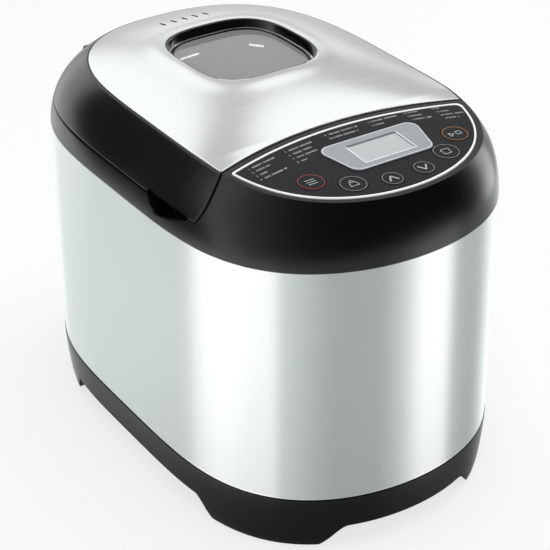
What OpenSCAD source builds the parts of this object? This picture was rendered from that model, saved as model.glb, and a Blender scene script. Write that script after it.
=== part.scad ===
// Compact bread machine: steel-wrapped body, domed lid with a window, belt-driven
// kneading paddle in a lift-out pan. Millimetres, +Z up, origin on the floor at the
// middle of the footprint, control panel towards -Y.

/* [Body] */
// Width over the steel wrap
body_w = 230; // [226:1:238]
// Length over the steel wrap
body_l = 349.5; // [345:0.5:360]
// Squareness of the long sides in plan
side_power = 3.85; // [3.6:0.05:4.2]
// Height of the base moulding
base_h = 41; // [40:0.5:46]
// Height of the steel wrap
wrap_h = 169.5; // [168:0.5:176]
// Sheet thickness of the steel wrap
wrap_t = 0.8; // [0.5:0.1:1.2]
// How far the black band stands proud of the wrap
band_proud = 1; // [0.5:0.1:1.6]
// Height of the band up to the lid's parting line
band_h = 15.5; // [14:0.5:18]
// Height of the lid's shoulder above the band
shoulder_h = 33; // [30:0.5:36]
// Wall of the black mouldings
wall = 3; // [2.4:0.1:3.4]

/* [Top] */
// Shoulder inset on the long sides
shoulder_side = 20; // [18:0.5:22]
// Shoulder inset at the front
shoulder_front = 7; // [6:0.5:9]
// Shoulder inset at the rear
shoulder_rear = 36; // [33:0.5:38]
// Where the top is widest, measured along the body
top_mid_y = -20; // [-24:1:-16]
// Rise of the domed cover
crown_h = 18; // [16:0.5:20]
// Swelling of the cover around the window
swell_h = 0.7; // [0.3:0.1:2]
// Thickness of the steel cover
cover_t = 1; // [0.6:0.1:1.2]
// Depth of the control panel on the centre line
panel_depth = 98.75; // [97:0.25:100]
// How far the lid's front edge sweeps forward at the sides
front_sag = 18; // [16:0.5:20]
// Flare of the lid's front corners at the parting line
corner_flare = 14; // [10:0.5:16]
// Fall of the control panel towards the front, per millimetre
panel_slope = 0.07; // [0.05:0.01:0.09]
// Gap between the lid and the front housing
front_gap = 0.8; // [0.6:0.1:1.2]
// Gap between the lid and the band
parting_gap = 0.8; // [0.6:0.1:1.2]

/* [Window] */
// Half width of the window
window_a = 43.5; // [40:0.5:46]
// Half length of the window
window_b = 46; // [42:0.5:48]
// Squareness of the window
window_power = 3.3; // [3:0.1:4]
// Place of the window along the cover, as a share of its length
window_share = 0.489; // [0.48:0.001:0.5]
// Depth of the folded recess around the glass
recess_h = 7.5; // [6:0.5:9]
// Width of the dark bezel around the glass
bezel_w = 4.5; // [3.5:0.5:6]
// Number of vent slots in the cover
vent_count = 5; // [3:1:6]
// Spacing of the vent slots
vent_pitch = 8.7; // [7:0.1:10]
// Width of a vent slot
vent_w = 1.8; // [1.5:0.1:2.4]
// Length of a vent slot
vent_len = 9; // [7:0.5:11]
// Place of the vent slots along the cover, as a share of its length
vent_share = 0.83; // [0.82:0.005:0.85]

/* [Feet] */
// Height of the arches between the feet
arch_h = 17; // [14:0.5:17]
// Length of the feet along the long sides
foot_l = 78.75; // [74:0.25:83]
// Width of the feet across the ends
foot_w = 50; // [46:1:54]
// Inward draft of the base at the floor
base_draft = 4.5; // [3:0.5:5]
// Radius of a rubber foot
pad_r = 10; // [8:0.5:11]

/* [Controls] */
// Radius of the round keys
key_r = 9; // [8.5:0.1:9.5]
// Radius of the two arrow keys
arrow_r = 7.2; // [6.8:0.1:8]
// Travel of a key
key_travel = 0.6; // [0.4:0.1:0.8]
// Width of the bright trim round the panel
trim_w = 2; // [1.5:0.1:2.5]
// Dark rim left outside the trim
rim_w = 4.5; // [4:0.5:5.5]
// Width of the display
lcd_w = 38; // [34:1:40]
// Height of the display
lcd_h = 22; // [20:1:24]
// Middle of the display across the panel
lcd_x = 9; // [6:0.5:11]

/* [Baking chamber] */
// Space between the wrap and the chamber on each long side
chamber_side = 29; // [27:0.5:31]
// Distance of the chamber behind the lid's front edge
chamber_lead = 4; // [3:0.5:6]
// Space between the rear face and the chamber
chamber_rear = 42.75; // [42:0.25:45]
// Chamber corner radius
chamber_r = 36; // [32:1:40]
// Chamber sheet thickness
chamber_t = 0.8; // [0.6:0.1:1]
// Space between the chamber and the pan on each long side
pan_side = 18; // [17:0.5:21]
// Space between the chamber and the pan at each end
pan_end = 19; // [18:0.5:22]
// Pan height
pan_h = 120; // [114:1:122]
// Pan corner radius
pan_r = 26; // [22:1:30]
// Pan wall
pan_t = 1.5; // [1.2:0.1:2]

/* [Drive] */
// Distance of the motor's axis behind the front face
motor_in = 53.75; // [53:0.25:56]
// Land radius of the large pulley
big_r = 38; // [36:0.5:40]
// Land radius of the motor pulley
small_r = 8; // [7.5:0.5:9]
// Width of the belt
belt_w = 8; // [6:2:10]
// Radius of the drive shaft
shaft_r = 4.5; // [4:0.1:5]
// Radius of the motor shaft and the pan shaft
spindle_r = 4; // [3.5:0.1:4.2]
// Running clearance of shafts in their bushes
run_gap = 0.05; // [0.03:0.01:0.08]

/* [Hinge] */
// Distance of the hinge axis from the rear face
hinge_in = 9.75; // [9:0.25:10.5]
// Hinge axis above the parting line
hinge_rise = 4; // [3.5:0.1:4.5]
// Knuckle radius
knuckle_r = 6.5; // [6:0.1:7]
// Hinge pin radius
pin_r = 2; // [1.8:0.1:2.5]
// Half length of the lid's knuckle
knuckle_lid = 22; // [20:0.5:24]
// Half length over the frame's knuckles
knuckle_frame = 46; // [44:0.5:48]

/* [Hidden] */
$fn = 48;
seat = 0.3;
half_w = body_w / 2 + band_proud;
half_l = body_l / 2 + band_proud;
band_z = base_h + wrap_h;
part_z = band_z + band_h;
seam_z = part_z + shoulder_h;
side_h = band_h + shoulder_h;
curl_start = 24;
curl_power = 3.46;
top_a = half_w - shoulder_side;
top_front = half_l - shoulder_front + top_mid_y;
top_rear = half_l - shoulder_rear - top_mid_y;
front_apex = panel_depth - half_l;
cover_l = half_l - shoulder_rear - front_apex;
window_y = front_apex + window_share * cover_l;
vent_y = front_apex + vent_share * cover_l;
foot_y = half_l - foot_l;
foot_x = half_w - foot_w;
chamber_w = body_w - 2 * chamber_side;
chamber_l = 2 * half_l - panel_depth - chamber_lead - chamber_rear;
drive_y = half_l - chamber_rear - chamber_l / 2;
pan_w = chamber_w - 2 * pan_side;
pan_l = chamber_l - 2 * pan_end;
hinge_y = half_l - hinge_in;
lid_u = (band_h + parting_gap) / side_h;
outline_n = 72;
lid_n = 46;
house_n = 34;
arc_n = 14;
deck_t = 3;
deck_z = arch_h + deck_t;
plate_t = 1.2;
chassis_z = deck_z + 20;
chassis_t = 1.5;
chassis_top = chassis_z + chassis_t;
chamber_z = chassis_top + 6.5;
flange_w = 14;
flange_z = part_z - wall;
flange_in = flange_w - 4;
barrel_r = 13;
barrel_top = chassis_top + 18.5;
bush_r = 7.5;
socket_r = 50;
socket_z = chamber_z + chamber_t;
socket_t = 1.2;
pan_seat_z = socket_z + socket_t;
pan_base_r = 46;
pan_base_h = 34;
pan_z = pan_seat_z + pan_base_h;
pan_floor = pan_z + 2;
motor_y = motor_in - half_l;
belt_span = drive_y - motor_y;
pulley_z = deck_z + 3;
pulley_h = 13;
belt_z = pulley_z + (pulley_h - belt_w) / 2;
rib_pitch = 2;
rib_depth = 1.2;
belt_t = 1.6;
flange_rise = 1.5;
rotor_r = 22;
stator_a = 36;
stator_r = 43;
stator_z = chassis_top + 16.5;
stator_h = 32;
spider_gap = 7;
spider_t = 5;
hinge_z = part_z + hinge_rise;
knuckle_gap = 0.5;
slope_deg = atan(panel_slope);
panel_t = 1.2;
panel_sink = 1;
panel_ref_y = 55.75 - half_l;
lcd_y = 58.75 - half_l;
bezel_top_w = 73;
bezel_low_w = 63;
bezel_h = 34;
switch_top = -9.7;
board_top = -13.2;
board_t = 1.6;
liner_drop = 9;
liner_z = part_z - liner_drop;
liner_t = 1;
handle_z = pan_z + pan_h - 10;
handle_rod = 2.25;
handle_x = pan_w / 2 + 7;
handle_reach = pan_l / 2 + 8;
element_z = chamber_z + 18;
element_r = 3.25;
element_in = 9.5;
element_w = chamber_w - 2 * element_in;
element_l = chamber_l - 2 * element_in;
element_corner = chamber_r - 12;
terminal_x = 15;
post_x = half_w - 22;
post_y = foot_y - 37;
handle_bend = pan_r;

// ---- Plan outline and shoulder surface ----

function spow(v, p) = sign(v) * pow(abs(v), p);

// Superellipse outline of the body at the band, t in degrees
function outer_pt(t) = [half_w * cos(t), half_l * spow(sin(t), 2 / side_power)];

// Outline of the flat top, longer at the front than at the rear
function top_pt(t) = sin(t) < 0
  ? [top_a * cos(t), top_mid_y + top_front * spow(sin(t), 2 / side_power)]
  : [top_a * spow(cos(t), 2 / 2.4), top_mid_y + top_rear * spow(sin(t), 2 / 3.6)];

// How far the shoulder has curled in at height share u, 0 at the band, 1 at the top
function curl(u) = pow((u * side_h + curl_start) / (side_h + curl_start), curl_power);

function surf_xy(t, u) = outer_pt(t) + curl(u) * (top_pt(t) - outer_pt(t));

// Height of the top edge, falling towards the front
function top_z(y) = seam_z - panel_slope * max(0, front_apex - y);

function level_z(y, u) = band_z + u * (top_z(y) - band_z);

function surf(t, u) =
  let (p = surf_xy(t, u))
  [p.x, p.y, level_z(top_pt(t).y, u)];

// The line where the lid meets the front housing
function front_y(x, u) =
  front_apex - front_sag * pow(x / top_a, 2)
  + corner_flare * pow((1 - u) / (1 - band_h / side_h), 2) * pow(x / half_w, 2);

// Angle at which the outline crosses that line, moved by g along the body
function cross_t(u, g, lo = 0, hi = 60, n = 18) =
  let (m = (lo + hi) / 2, p = surf_xy(-m, u))
  n == 0 ? m
  : p.y > front_y(p.x, u) + g ? cross_t(u, g, m, hi, n - 1) : cross_t(u, g, lo, m, n - 1);

function front_line(u, g, xa, xb) =
  [for (j = [1:arc_n - 1])
    let (x = xa + (xb - xa) * j / arc_n, y = front_y(x, u) + g)
    [x, y, level_z(y, u)]];

// Ring of the lid at height share u
function lid_ring(u) =
  let (c = cross_t(u, front_gap / 2), x = surf_xy(-c, u).x)
  concat(
    [for (i = [0:lid_n]) surf(-c + (180 + 2 * c) * i / lid_n, u)],
    front_line(u, front_gap / 2, -x, x));

// Ring of the front housing at height share u
function house_ring(u) =
  let (c = cross_t(u, -front_gap / 2), x = surf_xy(-c, u).x)
  concat(
    [for (i = [0:house_n]) surf(180 + c + (180 - 2 * c) * i / house_n, u)],
    front_line(u, -front_gap / 2, x, -x));

// Ring of the whole body at height z
function body_ring(z) =
  [for (i = [0:outline_n - 1])
    let (p = surf_xy(i * 360 / outline_n, (z - band_z) / side_h))
    [p.x, p.y, z]];

function unit(v) = v / max(norm(v), 0.001);

// A ring moved inwards by d and upwards by dz
function inset(ring, d, dz = 0) =
  let (n = len(ring))
  [for (i = [0:n - 1])
    let (a = ring[(i + n - 1) % n], b = ring[(i + 1) % n], q = unit([b.x - a.x, b.y - a.y]))
    [ring[i].x - q.y * d, ring[i].y + q.x * d, ring[i].z + dz]];

function flat(ring, z) = [for (p = ring) [p.x, p.y, z]];

function flat2(ring) = [for (p = ring) [p.x, p.y]];

// Plan outline of the wrap moved inwards by d
function wrap_plan(d) =
  flat2(inset([for (i = [0:outline_n - 1]) concat(outer_pt(i * 360 / outline_n), 0)],
    band_proud + d));

// Side faces between successive rings, for a solid that ends in two caps
module loft(rings) {
  n = len(rings[0]);
  m = len(rings);
  sides = [for (k = [0:m - 2], i = [0:n - 1])
    let (a = k * n + i, b = k * n + (i + 1) % n)
    each [[a, a + n, b + n], [a, b + n, b]]];
  caps = [[for (i = [0:n - 1]) i], [for (i = [n - 1:-1:0]) (m - 1) * n + i]];
  polyhedron(points = [for (r = rings) each r], faces = concat(sides, caps), convexity = 6);
}

// Faces between rings that come back to the first one, as a hollow moulding
module loft_round(rings) {
  n = len(rings[0]);
  m = len(rings);
  faces = [for (k = [0:m - 1], i = [0:n - 1])
    let (j = (i + 1) % n, l = (k + 1) % m)
    each [[k * n + i, l * n + i, l * n + j], [k * n + i, l * n + j, k * n + j]]];
  polyhedron(points = [for (r = rings) each r], faces = faces, convexity = 8);
}

// ---- Small shared shapes ----

module round_rect(w, l, r) {
  square([w - 2 * r, l], center = true);
  square([w, l - 2 * r], center = true);
  for (sx = [-1, 1], sy = [-1, 1])
    translate([sx * (w / 2 - r), sy * (l / 2 - r)]) circle(r);
}

module slab(w, l, r, h) {
  linear_extrude(h) round_rect(w, l, r);
}

module tube(r_out, r_in, h) {
  difference() {
    cylinder(r = r_out, h = h);
    translate([0, 0, -1]) cylinder(r = r_in, h = h + 2);
  }
}

module at_corners(x, y) {
  for (sx = [-1, 1], sy = [-1, 1]) translate([sx * x, sy * y, 0]) children();
}

module rod_x(r, x0, x1, y, z) {
  translate([x0, y, z]) rotate([0, 90, 0]) cylinder(r = r, h = x1 - x0);
}

module rod_y(r, y0, y1, x, z) {
  translate([x, y0, z]) rotate([-90, 0, 0]) cylinder(r = r, h = y1 - y0);
}

// Children in the tilted plane of the control panel, origin at [x, y]
module on_panel(x, y) {
  translate([0, panel_ref_y, top_z(panel_ref_y)])
    rotate([slope_deg, 0, 0])
      translate([x, y - panel_ref_y, 0]) children();
}

// Superellipse outline of the window, grown by d
function window_pt(a, d) =
  let (r = pow(pow(abs(cos(a)) / (window_a + d), window_power)
    + pow(abs(sin(a)) / (window_b + d), window_power), -1 / window_power))
  [r * cos(a), window_y + r * sin(a)];

module window_plan(d) {
  polygon([for (i = [0:outline_n - 1]) window_pt(i * 360 / outline_n, d)]);
}

// ---- Body ----

function arch_half(foot, top, n = 8) =
  [for (i = [0:n]) [foot + (top - foot) * i / n, arch_h * (1 - cos(180 * i / n)) / 2]];

// Outline of the space under an arch, from foot to foot
module arch_plan(foot, top) {
  right = arch_half(foot, top);
  polygon(concat([[-foot, -5], [foot, -5]], right, [for (i = [8:-1:0]) [-right[i].x, right[i].y]]));
}

module arches() {
  translate([-body_w, 0, 0]) rotate([90, 0, 90]) linear_extrude(2 * body_w) arch_plan(foot_y, foot_y - 17);
  translate([0, body_l, 0]) rotate([90, 0, 0]) linear_extrude(2 * body_l) arch_plan(foot_x, foot_x - 21);
}

pad_x = half_w - 34;
pad_y = foot_y + 21;
pad_h = 4;
floor_gap = 1.2;
leg_floor = 8;
leg_hollow_r = 12;
plate_w = 2 * (half_w - 31);
plate_l = 2 * (foot_y - 19);
strip_w = 2 * (foot_x - 23);
strip_l = 2 * (half_l - 50.75);
plate_r = 10;
opening_in = 11;
screw_r = 1.5;
boss_h = 7;
plate_screws = [[plate_w / 2 - 6, plate_l / 2 - 18], [strip_w / 2 - 5.5, strip_l / 2 - 6]];
screw_spots = [for (p = plate_screws, sx = [-1, 1], sy = [-1, 1]) [sx * p.x, sy * p.y]];
gland_z = 29;
gland_r = 7;
gland_bore = 3.4;
gland_y = body_l / 2;

// Cross-shaped plan of the bottom plate, between the four feet, grown by d
module plate_plan(d) {
  round_rect(plate_w + 2 * d, plate_l + 2 * d, plate_r);
  round_rect(strip_w + 2 * d, strip_l + 2 * d, plate_r);
}

// Ring of the base, d inside the band's outline, at height z
function base_ring(d, z) =
  inset([for (i = [0:outline_n - 1]) concat(outer_pt(i * 360 / outline_n), z)], d);

module base_moulding() color("#141516") {
  edge = band_proud - 0.5;
  difference() {
    union() {
      loft([
        base_ring(edge + base_draft, floor_gap),
        base_ring(edge + base_draft * 0.7, leg_floor),
        base_ring(edge + base_draft * 0.35, deck_z),
        base_ring(edge, base_h - 2),
        base_ring(edge, base_h)]);
      translate([0, 0, base_h - 1]) linear_extrude(6) polygon(wrap_plan(wrap_t + seat));
    }
    arches();
    translate([0, 0, deck_z]) linear_extrude(base_h) polygon(wrap_plan(wrap_t + seat + 2));
    translate([0, 0, -1]) linear_extrude(deck_z + 2) plate_plan(-opening_in);
    translate([0, 0, -1]) linear_extrude(arch_h + plate_t + 1) plate_plan(seat);
    at_corners(pad_x, pad_y) translate([0, 0, -1]) cylinder(r = pad_r + seat, h = pad_h + 1);
    at_corners(pad_x, pad_y) translate([0, 0, leg_floor]) cylinder(r = leg_hollow_r, h = base_h);
    for (p = screw_spots) translate([p.x, p.y, 0]) cylinder(r = screw_r + 0.1, h = base_h);
    rod_y(gland_r + 0.2, gland_y - 12, gland_y + 12, 0, gland_z);
    for (i = [2:5], s = [-1, 1])
      translate([s * i * 7 - 1.25, gland_y - 16, deck_z + 4]) cube([2.5, 30, 12]);
  }
  at_corners(post_x, post_y) translate([0, 0, deck_z - 0.5]) cylinder(r = 6, h = chassis_z - deck_z + 0.5);
  for (p = screw_spots) translate([p.x, p.y, deck_z - 0.5]) tube(4, screw_r + 0.1, boss_h + 0.5);
}

module bottom_plate() color("#9a9da0") {
  translate([0, 0, arch_h]) difference() {
    linear_extrude(plate_t) plate_plan(0);
    for (i = [-6:6], s = [-1, 1])
      translate([i * 9, s * plate_l * 0.282, -1]) slab(3.5, plate_l / 3, 1.7, plate_t + 2);
    for (p = screw_spots) translate([p.x, p.y, -1]) cylinder(r = screw_r + 0.2, h = plate_t + 2);
  }
}

// Pan-head screws that hold the bottom plate
module case_screws() color("#b9bcbe") {
  for (p = screw_spots) translate([p.x, p.y, arch_h]) {
    cylinder(r = screw_r, h = boss_h + 2);
    translate([0, 0, -1.8]) difference() {
      cylinder(r = 3, h = 1.8);
      cube([3.6, 0.8, 1.6], center = true);
      cube([0.8, 3.6, 1.6], center = true);
    }
  }
}

module rubber_feet() color("#202122") {
  at_corners(pad_x, pad_y) {
    cylinder(r1 = pad_r - 1, r2 = pad_r, h = 1);
    translate([0, 0, 1]) cylinder(r = pad_r, h = pad_h - 1);
  }
}

module steel_wrap() color("#c9cdcd") {
  translate([0, 0, base_h]) difference() {
    linear_extrude(wrap_h) polygon(wrap_plan(0));
    translate([0, 0, -1]) linear_extrude(wrap_h + 2) polygon(wrap_plan(wrap_t));
    translate([-0.3, 0, -1]) cube([0.6, body_l, wrap_h + 2]);
  }
}

// Bushing where the supply cord enters; a groove grips the wall
module cord_gland() color("#17181a") {
  difference() {
    union() {
      rod_y(gland_r, gland_y - 9, gland_y + 0.5, 0, gland_z);
      rod_y(gland_r + 2, gland_y - 9, gland_y - 6.5, 0, gland_z);
    }
    rod_y(gland_bore, gland_y - 20, gland_y + 5, 0, gland_z);
  }
}

// ---- Upper frame and control panel ----

notch_y = front_apex + 40;
notch_len = 48;
notch_h = 9;
notch_depth = 12;

// Side view of a finger notch: steep at the rear, running out towards the front
module notch_plan() {
  polygon(concat(
    [[notch_y, part_z + 4], [notch_y, part_z]],
    [for (i = [1:5]) [notch_y - 13 * i / 5, part_z - notch_h * sin(18 * i)]],
    [for (i = [1:8])
      [notch_y - 13 - (notch_len - 13) * i / 8, part_z - notch_h * (1 - pow(i / 8, 1.6)) + 1.5 * i / 8]],
    [[notch_y - notch_len, part_z + 4]]));
}

// Solid backing behind the finger notches that follows the outline
module notch_backing() {
  ring = body_ring(part_z - 6);
  intersection() {
    linear_extrude(part_z - 0.5) polygon(flat2(inset(ring, 1)));
    difference() {
      translate([-body_w, notch_y - notch_len - 4, part_z - 12]) cube([2 * body_w, notch_len + 8, 11]);
      translate([-half_w + notch_depth + 4, -body_l, 0]) cube([body_w - 2 * notch_depth - 6, 2 * body_l, body_l]);
    }
  }
}

module frame_ring() {
  low = body_ring(band_z);
  top = body_ring(part_z);
  mid = body_ring((band_z + part_z) / 2);
  loft_round([
    low, mid, flat(top, part_z),
    inset(top, flange_w), inset(top, flange_w, -wall),
    inset(top, wall + 1, -wall),
    flat(inset(low, wall + 1), band_z - 5),
    flat(inset(low, band_proud + wrap_t + seat), band_z - 5),
    flat(inset(low, band_proud + wrap_t + seat), band_z)]);
}

house_levels = [0.31, 0.42, 0.54, 0.66, 0.76, 0.85, 0.92, 0.97, 1];

module front_housing() {
  difference() {
    loft([for (u = house_levels) house_ring(u)]);
    loft([for (u = [0.2, 0.31, 0.54, 0.76, 0.94])
      let (drop = u > 0.9 ? house_sink() : 0)
      inset(house_ring(u), wall, drop)]);
  }
}

// Drop that leaves one wall under the tilted panel
function house_sink() = (1 - 0.94) * side_h - wall;

// Plan outline of the panel, in the tilted plane's own coordinates
module panel_plan(d) {
  polygon([for (p = inset(house_ring(1), d)) [p.x, p.y - panel_ref_y]]);
}

module key_holes(extra) {
  for (k = keys) translate([k.x, k.y - panel_ref_y, -8]) cylinder(r = k[2] + extra, h = 10);
}

// Share across the top, distance from the front face, and radius of each key
key_places = [
  [-0.5396, 46.25, key_r], [-0.3229, 31.95, key_r], [-0.0708, 25.05, arrow_r],
  [0.1833, 25.85, arrow_r], [0.4313, 34.15, key_r], [0.626, 48.95, key_r]];
keys = [for (k = key_places) [k.x * top_a, k.y - half_l, k[2]]];
key_gap = 0.3;

// Shape of the display's silver surround, wider at the top
module bezel_plan(d) {
  a = bezel_top_w / 2 - 7 + d;
  b = bezel_low_w / 2 - 7 + d;
  h = bezel_h / 2 - 7 + d;
  r = 7;
  for (s = [-1, 1]) {
    translate([s * a, h]) circle(r);
    translate([s * b, -h]) circle(r);
  }
  polygon([[-a, h + r], [a, h + r], [a + r, h], [b + r, -h], [b, -h - r], [-b, -h - r], [-b - r, -h], [-a - r, h]]);
}

board_posts = [for (p = [[-0.6875, -27], [0.75, -25], [-0.2083, -15]]) [p.x * top_a, front_apex + p.y]];

module upper_frame() color("#141516") {
  difference() {
    union() {
      frame_ring();
      front_housing();
      notch_backing();
      translate([-knuckle_lid, hinge_y - 5, part_z - wall - 3]) cube([2 * knuckle_lid, 11, 3.5]);
    }
    for (s = [0, 1]) mirror([s, 0, 0])
      translate([half_w - notch_depth, 0, 0]) rotate([90, 0, 90]) linear_extrude(notch_depth + 5) notch_plan();
    on_panel(0, panel_ref_y) {
      translate([0, 0, -panel_sink]) linear_extrude(5) panel_plan(rim_w);
      key_holes(key_gap);
      translate([lcd_x - lcd_w / 2 - 1, lcd_y - panel_ref_y - lcd_h / 2 - 1, -8]) cube([lcd_w + 2, lcd_h + 2, 10]);
    }
    rod_x(knuckle_r + knuckle_gap, -knuckle_frame - knuckle_gap, knuckle_frame + knuckle_gap, hinge_y, hinge_z);
    for (s = [-1, 1]) translate([s * (knuckle_lid + knuckle_frame) / 2 - 12.5, hinge_y, flange_z - 5]) {
      translate([0, -5.3, 0]) cube([25, 20, 12]);
      translate([0, -bracket_l - seat, 0]) cube([25, 20, 5 - seat]);
    }
  }
  on_panel(0, panel_ref_y)
    for (p = board_posts)
      translate([p.x, p.y - panel_ref_y, board_top]) cylinder(r = 3, h = -board_top - wall + 0.5);
}

module control_panel() color("#2b2c2f") {
  on_panel(0, panel_ref_y) difference() {
    translate([0, 0, -panel_sink]) linear_extrude(panel_t) panel_plan(rim_w + trim_w + 0.2);
    key_holes(key_gap);
    translate([lcd_x - lcd_w / 2 - 1, lcd_y - panel_ref_y - lcd_h / 2 - 1, -8]) cube([lcd_w + 2, lcd_h + 2, 10]);
  }
}

module panel_trim() color("#e2e4e5") {
  on_panel(0, panel_ref_y) translate([0, 0, -panel_sink]) linear_extrude(panel_sink + 0.7) difference() {
    panel_plan(rim_w + 0.15);
    panel_plan(rim_w + trim_w);
  }
}

module display_bezel() color("#a8acae") {
  on_panel(lcd_x, lcd_y) translate([0, 0, panel_t - panel_sink]) difference() {
    linear_extrude(0.8) bezel_plan(0);
    translate([-lcd_w / 2, -lcd_h / 2, -1]) cube([lcd_w, lcd_h, 3]);
  }
}

module lcd_window() color("#9fa6a2") {
  on_panel(lcd_x, lcd_y)
    translate([-lcd_w / 2 - 0.7, -lcd_h / 2 - 0.7, panel_t - panel_sink - 1.4])
      cube([lcd_w + 1.4, lcd_h + 1.4, 1.4]);
}

// Key cap with a retaining flange under the housing and a stem to its switch
module key(k) {
  on_panel(k.x, k.y) {
    translate([0, 0, -wall - 0.6]) cylinder(r = k[2], h = wall + 1.1);
    translate([0, 0, -wall - 1.4]) cylinder(r = k[2] + 1, h = 0.9);
    translate([0, 0, switch_top + key_travel + 0.1]) cylinder(r = 2.5, h = -switch_top - key_travel - wall - 1);
  }
}

module menu_key() color("#3a3b3e") key(keys[0]);
module weight_key() color("#3a3b3e") key(keys[1]);
module up_key() color("#3a3b3e") key(keys[2]);
module down_key() color("#3a3b3e") key(keys[3]);
module crust_key() color("#3a3b3e") key(keys[4]);
module start_stop_key() color("#3a3b3e") key(keys[5]);

module control_board() color("#2f6b3f") {
  on_panel(0, panel_ref_y) translate([0, 0, board_top - board_t]) linear_extrude(board_t) intersection() {
    panel_plan(12);
    square([2 * (top_a - 19), body_l], center = true);
  }
}

module display_module() color("#c9cec4") {
  on_panel(lcd_x, lcd_y) translate([-lcd_w / 2 - 4, -lcd_h / 2 - 3.5, board_top])
    cube([lcd_w + 8, lcd_h + 7, -board_top - wall - seat - 0.2]);
}

module key_switches() color("#d8d9da") {
  for (k = keys) on_panel(k.x, k.y) {
    translate([-3, -3, board_top]) cube([6, 6, 2.5]);
    translate([0, 0, board_top]) cylinder(r = 1.7, h = switch_top - board_top);
  }
}

// ---- Lid ----

lid_levels = [lid_u, 0.44, 0.55, 0.66, 0.76, 0.85, 0.92, 0.97, 1];
ledge_lip = 0.8;
ledge_w = 7;
cover_drop = cover_t + seat;

module lid_shell() color("#141516") {
  top = lid_ring(1);
  hinge_cut = knuckle_r + knuckle_gap;
  difference() {
    union() {
      loft_round(concat(
        [for (u = lid_levels) lid_ring(u)],
        [inset(top, ledge_lip), inset(top, ledge_lip, -cover_drop),
          inset(top, ledge_w, -cover_drop), inset(top, ledge_w, -cover_drop - 3),
          inset(lid_ring(0.76), wall + 1), inset(lid_ring(0.55), wall), inset(lid_ring(lid_u), wall)]));
      for (s = [-1, 1])
        translate([s * leaf_boss_x, leaf_boss_y, leaf_z + leaf_t]) cylinder(r = 4, h = seam_z - cover_drop - 2 - leaf_z - leaf_t);
    }
    rod_x(hinge_cut, -knuckle_frame - knuckle_gap, knuckle_frame + knuckle_gap, hinge_y, hinge_z);
    translate([-knuckle_frame - knuckle_gap, hinge_y - hinge_cut + 1, part_z - 1])
      cube([2 * (knuckle_frame + knuckle_gap), 30, hinge_cut + 6]);
    translate([-leaf_w / 2 - seat, hinge_y - 30, leaf_z - seat]) cube([leaf_w + 2 * seat, 30, leaf_t + seat]);
  }
}

// Height of the dome above the top edge: it falls to the sides, the rear and the front edge
function dome(x, y) =
  let (side = pow(abs(x) / top_a, 2.4) + pow(max(0, y - top_mid_y) / top_rear, 3.6),
    lead = max(0, y - front_y(x, 1)) / crown_reach)
  crown_h * (1 - pow(min(1, side), 0.83)) * (1 - pow(1 - min(1, lead), 2));

// How far out a point lies from the window's middle, 1 on the window's outline
function window_reach(x, y) =
  pow(pow(abs(x) / window_a, window_power) + pow(abs(y - window_y) / window_b, window_power), 1 / window_power);

// Ring of the cover, v from 0 at the window to 1 at the edge
function cover_ring(v, grow, dz) =
  let (edge = inset(lid_ring(1), ledge_lip + seat))
  [for (p = edge)
    let (w = window_pt(atan2(p.y - window_y, p.x), grow),
      x = w.x + (p.x - w.x) * v, y = w.y + (p.y - w.y) * v,
      swell = swell_h * exp(-pow((window_reach(x, y) - 1.1) / 0.15, 2)))
    [x, y, top_z(y) + dome(x, y) + swell + dz]];

cover_steps = [1, 0.97, 0.86, 0.72, 0.58, 0.44, 0.32, 0.22, 0.13, 0.05, 0];
module lid_cover() color("#ccd0d0") {
  difference() {
    loft_round(concat(
      [cover_ring(1, 0, -cover_t)],
      [for (v = cover_steps) cover_ring(v, 0, 0)],
      [cover_ring(0, -1.2, -1.2), flat(cover_ring(0, -1.8, 0), glass_z), flat(cover_ring(0, -0.8, 0), glass_z)],
      [for (i = [len(cover_steps) - 2:-1:1]) cover_ring(cover_steps[i], 0, -cover_t)]));
    for (i = [0:vent_count - 1])
      translate([(i - (vent_count - 1) / 2) * vent_pitch, vent_y, seam_z]) slab(vent_w, vent_len, vent_w / 2 - 0.05, 30);
  }
}

crown_reach = window_y - front_apex;
bezel_in = 2.8;
bezel_lip = 1;
glass_z = seam_z + dome(window_a, window_y) - recess_h;

// Dark surround of the glass, with a tunnel down to the liner
module window_bezel() color("#0d0d0e") {
  difference() {
    union() {
      translate([0, 0, glass_z - 2]) linear_extrude(3.5) window_plan(-bezel_in);
      translate([0, 0, liner_z + liner_t + 2]) linear_extrude(glass_z - liner_z - liner_t - 4 + 1) window_plan(-4);
    }
    translate([0, 0, liner_z]) linear_extrude(body_w) window_plan(-bezel_in - bezel_w);
    translate([0, 0, glass_z - 0.5]) linear_extrude(20) window_plan(-bezel_in - bezel_lip);
  }
}

module window_glass() color("#8f9395", 0.6) {
  translate([0, 0, glass_z - 0.5]) linear_extrude(1.6) window_plan(-bezel_in - bezel_lip - seat);
}

liner_w = chamber_w - 8;
liner_l = chamber_l - 8;
liner_r = chamber_r - 4;
seal_w = 3.8;

// Plan of the liner's outer flange, inside the lid's wall and clear of the hinge
module liner_flange_plan() {
  intersection() {
    polygon(flat2(inset(lid_ring(lid_u + 0.06), wall + 5 * seat)));
    translate([-body_w, -body_l]) square([2 * body_w, body_l + hinge_y - knuckle_r - knuckle_gap - 3]);
  }
}

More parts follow.
